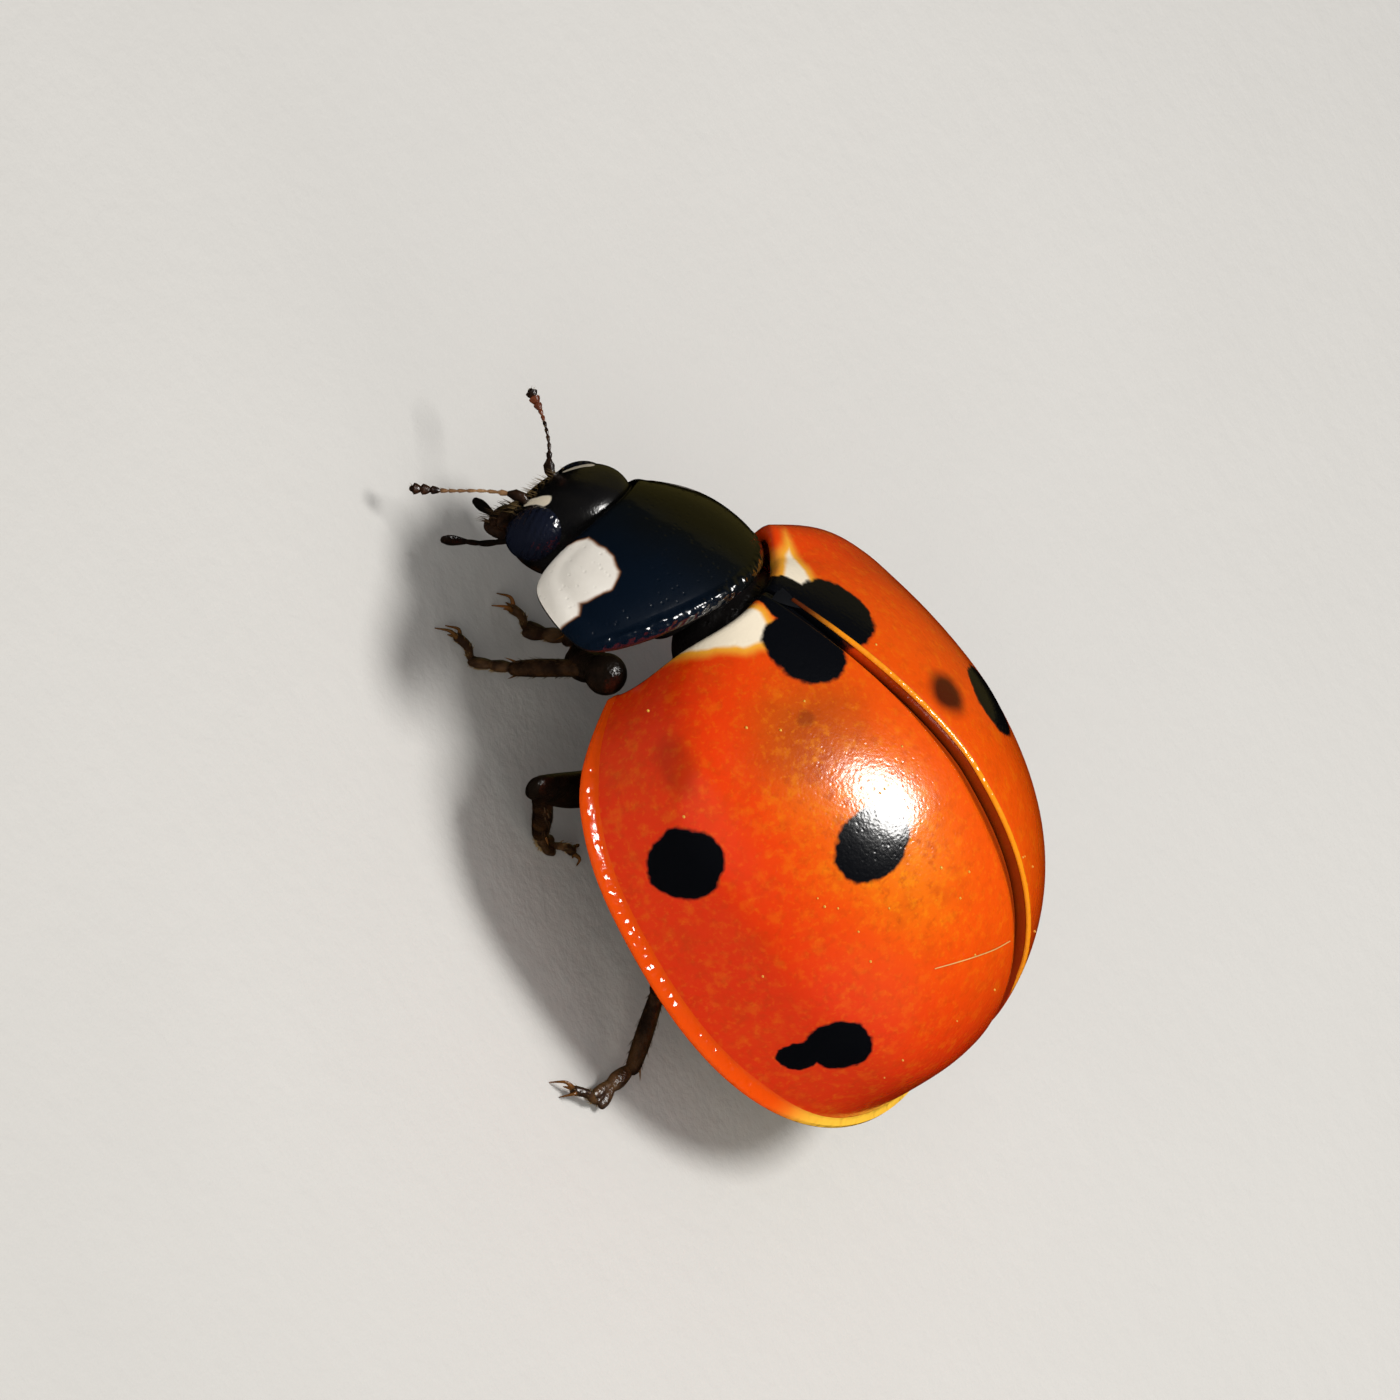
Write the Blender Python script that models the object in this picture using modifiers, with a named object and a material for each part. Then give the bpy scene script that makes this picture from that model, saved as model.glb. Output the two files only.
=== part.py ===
"""Seven-spot ladybird, life size, standing on six feet.

Metres. The animal is laid out in its body frame: X to its left, Y to its tail, Z up, with the
origin in the middle of the wing cases' front edge, level with the lowest point of their rims.
At the end the whole animal is set down with the middle of its box over the world's origin and
its soles on the ground. The head looks along -Y.
"""

import math

import bmesh
import bpy
from mathutils import Euler, Matrix, Vector

MM = 0.001
MERGE_DISTANCE = 0.0005 * MM
HARD_EDGE = math.radians(45)

# Stance: how high the rims of the wing cases stand over the ground.
RIM_HEIGHT = 1.25 * MM

# Wing cases: together one dome, split along its back.
CASE_LENGTH = 5.60 * MM
CASE_HALF_WIDTH = 2.93 * MM
CASE_RISE = 2.74 * MM
CASE_WALL = 0.50 * MM
WIDEST_AT = 0.37  # share of the length from the front edge
HIGHEST_AT = 0.47
FRONT_WIDTH = 0.58  # share of the half width
FRONT_RISE = 0.56  # share of the rise
RIM_CURVE = 0.79 * MM  # how far the rim lifts from its lowest point over one case length
RIM_LOWEST_AT = 0.72
SHOULDER_REACH = 0.26 * MM  # how far the shoulders come forward of the front edge's middle
SHOULDER_SHARE = 0.30
SHOULDER_ROUND = 0.16  # share of the width lost where the rim turns into the front edge
SHOULDER_ROUND_SHARE = 0.10
SUTURE_GAP = 0.10 * MM

# How full the dome's curves are: each is 1 - share**first, to the power second.
TAIL_WIDTH_POWERS = (2.38, 0.46)
TAIL_RISE_POWERS = (2.37, 0.544)
ARCH_POWERS = (2.04, 0.504)
FRONT_WIDTH_POWER = 3.1  # how late the width and the rise fall off towards the front edge
FRONT_RISE_POWER = 1.67
SHOULDER_ROUND_POWER = 2.5

# Fits between neighbouring plates.
GAP = 0.06 * MM
TRUNK_GAP = 0.12 * MM  # wing case's inner face to the trunk under it
TRUNK_FRONT_INSET = 0.45 * MM  # more room where the dome slopes in to its front edge

# Small triangular plate between the wing cases.
SCUTELLUM_WIDTH = 0.36 * MM
SCUTELLUM_LENGTH = 0.38 * MM
SCUTELLUM_THICKNESS = 0.30 * MM
SCUTELLUM_AT = 0.012  # share of the wing cases' length where its middle lies
SCUTELLUM_SLOPE = 28  # degrees, the slope of the dome there
SCUTELLUM_SINK = 0.55  # share of its thickness that its middle lies under the dome

# Neck shield (pronotum): its own frame has its origin in the middle of the rear edge.
SHIELD_AT = (0.0, -0.22 * MM, 1.855 * MM)
SHIELD_TILT = (32.2, -5.3, -7.3)  # degrees: nose down, leaning to the right, turned to the right
SHIELD_LENGTH = 1.60 * MM
SHIELD_REAR_HALF_WIDTH = 1.75 * MM
SHIELD_FRONT_HALF_WIDTH = 1.13 * MM
SHIELD_SIDE_SWELL = 0.29 * MM
SHIELD_DROP = 0.74 * MM  # how far the sides hang under the middle
SHIELD_DROP_POWER = 2.2
SHIELD_CROWN = 0.167 * MM
SHIELD_REAR_BOW = 0.79 * MM
SHIELD_FRONT_BOW = 0.29 * MM
SHIELD_WALL = 0.42 * MM

# Head: its own frame has its origin in the middle of the head, the face looking along -Y.
HEAD_AT = (-0.12 * MM, -1.50 * MM, 0.17 * MM)
HEAD_TURN = (0.0, -5.3, -7.3)
HEAD_RADII = (0.80 * MM, 0.50 * MM, 0.70 * MM)
EYE_AT = (0.53 * MM, -0.12 * MM, 0.03 * MM)
EYE_RADII = (0.33 * MM, 0.36 * MM, 0.40 * MM)
LIP_AT = (0.0, -0.27 * MM, -0.66 * MM)
LIP_RADII = (0.30 * MM, 0.20 * MM, 0.16 * MM)

# Feelers and palps, from root to tip in millimetres in the head's frame.
FEELER_RADIUS = 0.25 * MM
FEELERS = {
    "antenna_left": [
        (0.37, -0.50, -0.12),
        (0.45, -0.72, -0.40),
        (0.60, -0.93, -0.74),
        (0.73, -1.12, -1.00),
    ],
    "antenna_right": [
        (-0.37, -0.50, -0.12),
        (-0.49, -0.73, -0.04),
        (-0.70, -0.98, -0.07),
        (-0.86, -1.23, -0.14),
    ],
}
PALPS = {
    "palp_left": [(0.34, -0.20, -0.78), (0.46, -0.29, -0.93), (0.62, -0.40, -1.06)],
    "palp_right": [(-0.30, -0.22, -0.86), (-0.32, -0.36, -0.96), (-0.34, -0.52, -1.06)],
}

# Trunk under the wing cases: chest and belly, cut across behind the hind legs' roots.
TRUNK_LENGTH = CASE_LENGTH - CASE_WALL - TRUNK_GAP
TRUNK_FRONT = 0.06 * MM
CHEST_END = 2.30 * MM
BELLY_END = TRUNK_LENGTH * 0.985
TRUNK_LEAST_HALF_WIDTH = 0.12 * MM
TRUNK_LEAST_RISE = 0.10 * MM
TRUNK_LIFT = 0.02 * MM  # its widest line over the rims
KEEL_DEPTH = 0.34 * MM
KEEL_HALF_WIDTH = 0.95 * MM

# Front chest (prosternum), the knot under the neck shield that carries the front legs.
NECK_AT = (0.0, -0.52 * MM, 0.34 * MM)
NECK_RADII = (0.86 * MM, 0.56 * MM, 0.52 * MM)

# Legs, in millimetres in the body frame. The ball and toe of the foot are places on the ground
# in plan; their height is FOOT_CENTRE.
FOOT_RADIUS = 0.26 * MM
FOOT_CENTRE = 0.19 * MM  # height of the toe's centre line over the ground
THIGH_RADIUS = 0.29 * MM
SHIN_RADIUS = 0.25 * MM
LEGS = {
    "front_left": {
        "hip": (0.48, -0.30, -0.20),
        "knee": (1.05, -0.30, 0.30),
        "ankle": (0.92, -0.60, -0.66),
        "ball": (0.82, -0.84),
        "toe": (0.84, -1.16),
    },
    "front_right": {
        "hip": (-0.48, -0.24, -0.20),
        "knee": (-1.12, -0.42, 0.04),
        "ankle": (-0.30, -0.24, -0.80),
        "ball": (-0.24, -0.55),
        "toe": (-0.20, -0.84),
    },
    "middle_left": {
        "hip": (0.62, 1.10, -0.42),
        "knee": (2.20, 0.22, -0.32),
        "ankle": (1.78, 0.84, -0.93),
        "ball": (1.52, 1.10),
        "toe": (1.24, 1.38),
    },
    "middle_right": {
        "hip": (-0.62, 1.10, -0.42),
        "knee": (-2.30, 0.52, -0.30),
        "ankle": (-2.78, 0.86, -0.92),
        "ball": (-3.02, 1.14),
        "toe": (-3.24, 1.46),
    },
    "hind_left": {
        "hip": (0.70, 2.52, -0.44),
        "knee": (2.28, 2.69, -0.38),
        "ankle": (2.64, 3.28, -0.98),
        "ball": (3.26, 3.24),
        "toe": (3.52, 2.92),
    },
    "hind_right": {
        "hip": (-0.70, 2.52, -0.44),
        "knee": (-2.30, 2.96, -0.36),
        "ankle": (-2.80, 3.66, -0.94),
        "ball": (-3.18, 3.92),
        "toe": (-3.52, 4.20),
    },
}

# Mesh fineness.
CASE_ROWS = 20
CASE_COLUMNS = 10
SHIELD_ROWS = 8
SHIELD_COLUMNS = 16
TRUNK_SIDES = 20
CHEST_SLICES = 8
BELLY_SLICES = 10
LIMB_STATIONS = 6
PALP_STATIONS = 5

# Limb segments: the size of their two ends, as shares of the full radius in the middle.
THIGH_ENDS = (0.75, 0.55)
SHIN_ENDS = (0.55, 0.70)
FOOT_ENDS = (0.60, 0.65)
FEELER_ENDS = (0.60, 0.80)
PALP_ENDS = (0.50, 0.90)
LIMB_FULLNESS = 2.5  # the higher, the nearer to the ends a segment stays full
JOINT_OVERRUN = 0.5  # radii that a segment runs past its joint before it is mitred


def clear_scene():
    for obj in list(bpy.data.objects):
        bpy.data.objects.remove(obj, do_unlink=True)


def new_collection(name):
    collection = bpy.data.collections.new(name)
    bpy.context.scene.collection.children.link(collection)
    return collection


def new_material(name, colour, roughness, metallic=0.0, coat=0.0):
    material = bpy.data.materials.new(name)
    material.use_nodes = True
    shader = material.node_tree.nodes["Principled BSDF"]
    shader.inputs["Base Color"].default_value = (*colour, 1.0)
    shader.inputs["Roughness"].default_value = roughness
    shader.inputs["Metallic"].default_value = metallic
    shader.inputs["Coat Weight"].default_value = coat
    return material


def new_object(name, mesh, collection, material=None):
    obj = bpy.data.objects.new(name, mesh)
    collection.objects.link(obj)
    if material:
        mesh.materials.append(material)
    return obj


def finish_mesh(bm, name):
    """A bmesh as a mesh datablock, shaded smooth except at hard edges."""
    mesh = bpy.data.meshes.new(name)
    bm.to_mesh(mesh)
    bm.free()
    mesh.shade_smooth()
    mesh.set_sharp_from_angle(angle=HARD_EDGE)
    return mesh


def in_mm(points):
    return [Vector(point) * MM for point in points]


def turn(degrees):
    return Euler([math.radians(angle) for angle in degrees], "XYZ").to_matrix()


# --- the dome of the wing cases -------------------------------------------------------------


def rounded(share, powers):
    """A curve that falls from 1 at share 0 to nothing at share 1, like a quarter of an oval."""
    return max(1 - share ** powers[0], 0) ** powers[1]


def dome_half_width(t):
    """Half width at share t of the length: full at WIDEST_AT, rounding in to a point at the tail."""
    if t > WIDEST_AT:
        return CASE_HALF_WIDTH * rounded((t - WIDEST_AT) / (1 - WIDEST_AT), TAIL_WIDTH_POWERS)
    short = (WIDEST_AT - t) / WIDEST_AT
    corner = max(1 - t / SHOULDER_ROUND_SHARE, 0)
    narrowing = 1 - (1 - FRONT_WIDTH) * short**FRONT_WIDTH_POWER
    return CASE_HALF_WIDTH * narrowing * (1 - SHOULDER_ROUND * corner**SHOULDER_ROUND_POWER)


def dome_rise(t):
    """Height of the back over the rim at share t of the length."""
    if t > HIGHEST_AT:
        return CASE_RISE * rounded((t - HIGHEST_AT) / (1 - HIGHEST_AT), TAIL_RISE_POWERS)
    short = (HIGHEST_AT - t) / HIGHEST_AT
    return CASE_RISE * (1 - (1 - FRONT_RISE) * short**FRONT_RISE_POWER)


def arch(share):
    """Height of a cross-section at a share of its half width, from 1 on the back to 0 at the rim."""
    return rounded(abs(share), ARCH_POWERS)


def rim_height(t):
    return RIM_CURVE * (t - RIM_LOWEST_AT) ** 2


def dome_point(t, share):
    """A point of the dome: t runs from the front edge to the tail, share from the back to the rim."""
    front = max(1 - t / SHOULDER_SHARE, 0)
    return Vector((
        share * dome_half_width(t),
        CASE_LENGTH * t - SHOULDER_REACH * share**2 * front,
        rim_height(t) + dome_rise(t) * arch(share),
    ))


def curved_sheet(name, point, rows, columns, flip=False):
    """An open grid whose points come from point(u, v), with u and v from 0 to 1."""
    bm = bmesh.new()
    bmesh.ops.create_grid(bm, x_segments=rows, y_segments=columns, size=0.5)
    for vert in bm.verts:
        vert.co = point(vert.co.x + 0.5, vert.co.y + 0.5)
    bmesh.ops.remove_doubles(bm, verts=bm.verts, dist=MERGE_DISTANCE)
    if flip:
        bmesh.ops.reverse_faces(bm, faces=bm.faces)
    return finish_mesh(bm, name)


def add_solidify(obj, thickness):
    solidify = obj.modifiers.new("wall", "SOLIDIFY")
    solidify.thickness = thickness
    solidify.offset = -1
    solidify.use_even_offset = True


def make_wing_case(name, side, collection, material):
    """One wing case: side is 1 on the left and -1 on the right."""

    def point(u, v):
        t = math.sin(u * math.pi / 2) ** 1.3
        half_width = max(dome_half_width(t), SUTURE_GAP / 2)
        x = SUTURE_GAP / 2 + (half_width - SUTURE_GAP / 2) * math.sin(v * math.pi / 2)
        place = dome_point(t, min(x / half_width, 1))
        return Vector((side * x, place.y, place.z))

    mesh = curved_sheet(name, point, CASE_ROWS, CASE_COLUMNS, flip=side > 0)
    obj = new_object(name, mesh, collection, material)
    add_solidify(obj, CASE_WALL)
    return obj


# --- closed lofts ---------------------------------------------------------------------------


def loft(name, rings):
    """A closed body over a list of rings with equal counts of points, capped at both ends."""
    bm = bmesh.new()
    loops = [[bm.verts.new(point) for point in ring] for ring in rings]
    count = len(rings[0])
    for near, far in zip(loops, loops[1:]):
        for index in range(count):
            after = (index + 1) % count
            bm.faces.new((near[index], near[after], far[after], far[index]))
    bm.faces.new(loops[0])
    bm.faces.new(loops[-1])
    bmesh.ops.recalc_face_normals(bm, faces=bm.faces)
    return finish_mesh(bm, name)


def trunk_ring(y):
    """The trunk's outline across the body at y: it fills the dome and bulges a little below."""
    t = y / TRUNK_LENGTH
    inset = CASE_WALL + TRUNK_GAP + TRUNK_FRONT_INSET * max(1 - t / SHOULDER_SHARE, 0)
    half_width = max(dome_half_width(t) - inset, TRUNK_LEAST_HALF_WIDTH)
    rise = max(dome_rise(t) - inset, TRUNK_LEAST_RISE)
    keel = KEEL_DEPTH * math.cos(min(t, 1) * math.pi / 2) ** 0.5
    base = rim_height(y / CASE_LENGTH) + TRUNK_LIFT
    ring = []
    for step in range(TRUNK_SIDES):
        angle = 2 * math.pi * (step + 0.5) / TRUNK_SIDES
        share = math.cos(angle)
        x = half_width * share
        if math.sin(angle) > 0:
            z = base + rise * arch(share)
        else:
            z = base * min(abs(x) / KEEL_HALF_WIDTH, 1) - keel * math.exp(-(x / KEEL_HALF_WIDTH) ** 2)
        ring.append(Vector((x, y, z)))
    return ring


def make_chest(name, collection, material):
    rings = []
    for step in range(CHEST_SLICES + 1):
        rings.append(trunk_ring(TRUNK_FRONT + (CHEST_END - TRUNK_FRONT) * step / CHEST_SLICES))
    return new_object(name, loft(name, rings), collection, material)


def make_belly(name, collection, material):
    """The rest of the trunk, with its slices drawn together where the tail rounds off."""
    start = CHEST_END + GAP
    rings = []
    for step in range(BELLY_SLICES + 1):
        share = math.sin(math.pi / 2 * step / BELLY_SLICES)
        rings.append(trunk_ring(start + (BELLY_END - start) * share))
    return new_object(name, loft(name, rings), collection, material)


# --- neck shield and head -------------------------------------------------------------------


def shield_point(u, v):
    """Upper face of the neck shield in its own frame: u from rear to front, v from right to left."""
    across = 2 * v - 1
    half_width = SHIELD_REAR_HALF_WIDTH + (SHIELD_FRONT_HALF_WIDTH - SHIELD_REAR_HALF_WIDTH) * u
    half_width += SHIELD_SIDE_SWELL * 4 * u * (1 - u)
    bow = SHIELD_REAR_BOW * (1 - u) + SHIELD_FRONT_BOW * u
    return Vector((
        across * half_width,
        -SHIELD_LENGTH * u - bow * across**2,
        SHIELD_CROWN * 2 * u * (1 - u) - SHIELD_DROP * abs(across) ** SHIELD_DROP_POWER,
    ))


def make_shield(name, collection, material):
    mesh = curved_sheet(name, shield_point, SHIELD_ROWS, SHIELD_COLUMNS)
    obj = new_object(name, mesh, collection, material)
    obj.location = SHIELD_AT
    obj.rotation_euler = [math.radians(angle) for angle in SHIELD_TILT]
    add_solidify(obj, SHIELD_WALL)
    return obj


def make_ball(name, centre, radii, collection, material, frame=None, segments=20, rings=12):
    """An ellipsoid with its long axes along the frame's, by default the body's."""
    bm = bmesh.new()
    bmesh.ops.create_uvsphere(bm, u_segments=segments, v_segments=rings, radius=1)
    bmesh.ops.scale(bm, vec=radii, verts=bm.verts)
    bmesh.ops.translate(bm, vec=centre, verts=bm.verts)
    if frame:
        bmesh.ops.transform(bm, matrix=frame, verts=bm.verts)
    return new_object(name, finish_mesh(bm, name), collection, material)


def head_frame():
    return Matrix.Translation(HEAD_AT) @ turn(HEAD_TURN).to_4x4()


# --- limbs ----------------------------------------------------------------------------------


def smooth_route(points, stations):
    """Points evenly along a Catmull-Rom curve through the given points."""
    padded = [points[0] * 2 - points[1], *points, points[-1] * 2 - points[-2]]
    route = []
    for step in range(stations + 1):
        place = step / stations * (len(points) - 1)
        index = min(int(place), len(points) - 2)
        before, start, end, after = padded[index : index + 4]
        t = place - index
        route.append(0.5 * (
            2 * start
            + (end - before) * t
            + (2 * before - 5 * start + 4 * end - after) * t**2
            + (3 * start - before - 3 * end + after) * t**3
        ))
    return route


def limb_body(name, points, radius, ends, stations=LIMB_STATIONS):
    """A bmesh tube along a smooth route, full in the middle; ends are shares of the radius."""
    curve = bpy.data.curves.new(name, "CURVE")
    curve.dimensions = "3D"
    curve.bevel_depth = 1.0
    curve.bevel_resolution = 2
    curve.use_fill_caps = True
    route = smooth_route(points, stations)
    spline = curve.splines.new("POLY")
    spline.points.add(len(route) - 1)
    for index, place in enumerate(route):
        share = index / (len(route) - 1)
        end_share = ends[0] if share < 0.5 else ends[1]
        fullness = math.sqrt(1 - abs(2 * share - 1) ** LIMB_FULLNESS)
        spline.points[index].co = (*place, 1)
        spline.points[index].radius = radius * (end_share + (1 - end_share) * fullness)
    guide = bpy.data.objects.new(name, curve)
    bpy.context.scene.collection.objects.link(guide)
    graph = bpy.context.evaluated_depsgraph_get()
    mesh = bpy.data.meshes.new_from_object(guide.evaluated_get(graph))
    bpy.data.objects.remove(guide, do_unlink=True)
    bm = bmesh.new()
    bm.from_mesh(mesh)
    bmesh.ops.remove_doubles(bm, verts=bm.verts, dist=MERGE_DISTANCE)
    bmesh.ops.recalc_face_normals(bm, faces=bm.faces)
    return bm


def trim(bm, point, outward):
    """Cuts away what lies past the plane through point, and closes the cut with a flat face."""
    parts = bm.verts[:] + bm.edges[:] + bm.faces[:]
    bmesh.ops.bisect_plane(bm, geom=parts, plane_co=point, plane_no=outward, clear_outer=True)
    rim = [edge for edge in bm.edges if edge.is_boundary]
    bmesh.ops.holes_fill(bm, edges=rim, sides=0)
    bmesh.ops.recalc_face_normals(bm, faces=bm.faces)


def mitre(before, joint, after):
    """Direction of the plane that parts two limb segments evenly where they meet."""
    return ((joint - before).normalized() + (after - joint).normalized()).normalized()


def make_leg(leg, joints, collection, materials):
    """Thigh, shin and foot, parted at the knee and ankle, with the foot's sole cut flat."""
    sole = Vector((0, 0, -RIM_HEIGHT))
    hip, knee, ankle = in_mm(joints[joint] for joint in ("hip", "knee", "ankle"))
    ball = Vector((*joints["ball"], 0)) * MM + sole + Vector((0, 0, FOOT_CENTRE))
    toe = Vector((*joints["toe"], 0)) * MM + sole + Vector((0, 0, FOOT_CENTRE))
    knee_plane = mitre(hip, knee, ankle)
    ankle_plane = mitre(knee, ankle, ball)
    half_gap = GAP / 2

    past_knee = knee + (knee - hip).normalized() * THIGH_RADIUS * JOINT_OVERRUN
    thigh = limb_body("femur_" + leg, [hip, (hip + knee) / 2, past_knee], THIGH_RADIUS, THIGH_ENDS)
    trim(thigh, knee - knee_plane * half_gap, knee_plane)

    overrun = (ankle - knee).normalized() * SHIN_RADIUS * JOINT_OVERRUN
    route = [knee - overrun, (knee + ankle) / 2, ankle + overrun]
    shin = limb_body("tibia_" + leg, route, SHIN_RADIUS, SHIN_ENDS)
    trim(shin, knee + knee_plane * half_gap, -knee_plane)
    trim(shin, ankle - ankle_plane * half_gap, ankle_plane)

    before_ankle = ankle - (ball - ankle).normalized() * FOOT_RADIUS * JOINT_OVERRUN
    foot = limb_body("tarsus_" + leg, [before_ankle, ball, toe], FOOT_RADIUS, FOOT_ENDS)
    trim(foot, ankle + ankle_plane * half_gap, -ankle_plane)
    trim(foot, sole, Vector((0, 0, -1)))

    made = []
    for part, body in (("femur", thigh), ("tibia", shin), ("tarsus", foot)):
        name = part + "_" + leg
        made.append(new_object(name, finish_mesh(body, name), collection, materials[part]))
    return made


# --- clearances -----------------------------------------------------------------------------


def grown_copy(obj, gap, cutters):
    """A cutter: the evaluated shape of obj, swollen by gap all round."""
    graph = bpy.context.evaluated_depsgraph_get()
    mesh = bpy.data.meshes.new_from_object(obj.evaluated_get(graph))
    cutter = bpy.data.objects.new("clear_" + obj.name, mesh)
    cutter.matrix_world = obj.matrix_world
    cutters.objects.link(cutter)
    swell = cutter.modifiers.new("swell", "DISPLACE")
    swell.strength = gap
    swell.mid_level = 0
    cutter.hide_render = True
    cutter.display_type = "WIRE"
    return cutter


def keep_clear(obj, cutter):
    """Cuts a neighbour's grown shape out of obj."""
    cut = obj.modifiers.new(cutter.name, "BOOLEAN")
    cut.operation = "DIFFERENCE"
    cut.object = cutter
    cut.solver = "EXACT"


def make_scutellum(collection, cutters, material):
    """The triangular plate, point to the tail, and the cutter that makes its seat."""

    def wedge(name, grow):
        bm = bmesh.new()
        bmesh.ops.create_cone(bm, cap_ends=True, segments=3, radius1=1, radius2=1, depth=1)
        for vert in bm.verts:
            vert.co.x *= (SCUTELLUM_WIDTH / 2 + grow) / math.cos(math.pi / 6)
            vert.co.y *= (SCUTELLUM_LENGTH + 2 * grow) / (1 + math.sin(math.pi / 6))
            vert.co.z *= SCUTELLUM_THICKNESS + 2 * grow
        return finish_mesh(bm, name)

    back = dome_point(SCUTELLUM_AT, 0)
    centre = (0, back.y, back.z - SCUTELLUM_THICKNESS * SCUTELLUM_SINK)
    plate = new_object("scutellum", wedge("scutellum", 0), collection, material)
    seat = new_object("clear_scutellum", wedge("clear_scutellum", GAP), cutters)
    for obj in (plate, seat):
        obj.location = centre
        obj.rotation_euler = (math.radians(SCUTELLUM_SLOPE), 0, 0)
    seat.hide_render = True
    seat.display_type = "WIRE"
    return plate, seat


# --- the animal -----------------------------------------------------------------------------


def make_materials():
    dark = (0.006, 0.007, 0.011)
    brown = (0.030, 0.014, 0.007)
    return {
        "case": new_material("wing case orange red", (0.62, 0.045, 0.004), 0.22, coat=0.5),
        "shield": new_material("neck shield black", dark, 0.16, coat=0.5),
        "head": new_material("head black", dark, 0.25),
        "eye": new_material("eye black", (0.004, 0.004, 0.006), 0.20),
        "feeler": new_material("feeler brown", (0.10, 0.035, 0.012), 0.45),
        "mouth": new_material("mouth dark brown", (0.020, 0.010, 0.006), 0.40),
        "trunk": new_material("underside black", dark, 0.45),
        "femur": new_material("thigh black", dark, 0.30),
        "tibia": new_material("shin dark brown", brown, 0.35),
        "tarsus": new_material("foot brown", (0.060, 0.028, 0.012), 0.50),
    }


def make_head(collection, cutters, shield_clear, materials):
    """Head capsule, eyes, upper lip, feelers and palps, all in the head's own frame."""
    frame = head_frame()
    head = make_ball("head", (0, 0, 0), HEAD_RADII, collection, materials["head"], frame)
    lip = make_ball("labrum", LIP_AT, LIP_RADII, collection, materials["mouth"], frame, 12, 8)
    lip_clear = grown_copy(lip, GAP, cutters)
    clear = [shield_clear, lip_clear]
    for side, word in ((1, "left"), (-1, "right")):
        centre = (side * EYE_AT[0], EYE_AT[1], EYE_AT[2])
        eye = make_ball("eye_" + word, centre, EYE_RADII, collection, materials["eye"], frame, 16, 10)
        clear.append(grown_copy(eye, GAP, cutters))
        keep_clear(eye, shield_clear)
    for name, points in FEELERS.items():
        body = limb_body(name, in_mm(points), FEELER_RADIUS, FEELER_ENDS)
        bmesh.ops.transform(body, matrix=frame, verts=body.verts)
        feeler = new_object(name, finish_mesh(body, name), collection, materials["feeler"])
        clear.append(grown_copy(feeler, GAP, cutters))
    for name, points in PALPS.items():
        body = limb_body(name, in_mm(points), FEELER_RADIUS, PALP_ENDS, PALP_STATIONS)
        bmesh.ops.transform(body, matrix=frame, verts=body.verts)
        palp = new_object(name, finish_mesh(body, name), collection, materials["mouth"])
        keep_clear(palp, lip_clear)
    for cutter in clear:
        keep_clear(head, cutter)
    return head


def build():
    clear_scene()
    bpy.context.scene.unit_settings.system = "METRIC"
    animal = new_collection("ladybird")
    cutters = new_collection("cutters")
    materials = make_materials()

    cases = [
        make_wing_case("elytron_left", 1, animal, materials["case"]),
        make_wing_case("elytron_right", -1, animal, materials["case"]),
    ]
    scutellum, seat = make_scutellum(animal, cutters, materials["shield"])
    for case in cases:
        keep_clear(case, seat)

    shield = make_shield("pronotum", animal, materials["shield"])
    bpy.context.view_layer.update()
    shield_clear = grown_copy(shield, GAP, cutters)
    head = make_head(animal, cutters, shield_clear, materials)

    chest = make_chest("thorax", animal, materials["trunk"])
    belly = make_belly("abdomen", animal, materials["trunk"])
    neck = make_ball("prothorax", NECK_AT, NECK_RADII, animal, materials["trunk"])

    for leg, joints in LEGS.items():
        thigh = make_leg(leg, joints, animal, materials)[0]
        thigh_clear = grown_copy(thigh, GAP, cutters)
        if leg.startswith("front"):
            keep_clear(neck, thigh_clear)
        else:
            keep_clear(chest, thigh_clear)
        if leg.startswith("hind"):
            keep_clear(belly, thigh_clear)
    keep_clear(neck, shield_clear)
    keep_clear(neck, grown_copy(head, GAP, cutters))
    return animal


def world_box(objects):
    graph = bpy.context.evaluated_depsgraph_get()
    corners = []
    for obj in objects:
        evaluated = obj.evaluated_get(graph)
        corners += [evaluated.matrix_world @ vert.co for vert in evaluated.data.vertices]
    low = Vector([min(corner[axis] for corner in corners) for axis in range(3)])
    high = Vector([max(corner[axis] for corner in corners) for axis in range(3)])
    return low, high


def set_down(animal):
    """Moves the animal so that its box stands on the ground with its middle over the origin."""
    bpy.context.view_layer.update()
    low, high = world_box(animal.objects)
    stand = bpy.data.objects.new("stance", None)
    animal.objects.link(stand)
    everything = [obj for obj in bpy.data.objects if obj is not stand]
    for obj in everything:
        obj.parent = stand
    stand.location = (-(low.x + high.x) / 2, -(low.y + high.y) / 2, RIM_HEIGHT)


set_down(build())
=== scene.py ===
"""Looks of the seven-spot ladybird: a detailed piece in place of each part of its model.

Shapes are made in millimetres in the part's own frames and placed in metres. The body frame has X
to the animal's left, Y to its tail and Z up, with its origin in the middle of the wing cases' front
edge. The neck shield and the head have frames of their own, as in the part.
"""

import math

import bmesh
import bpy
import numpy as np
from mathutils import Euler, Matrix, Vector


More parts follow.
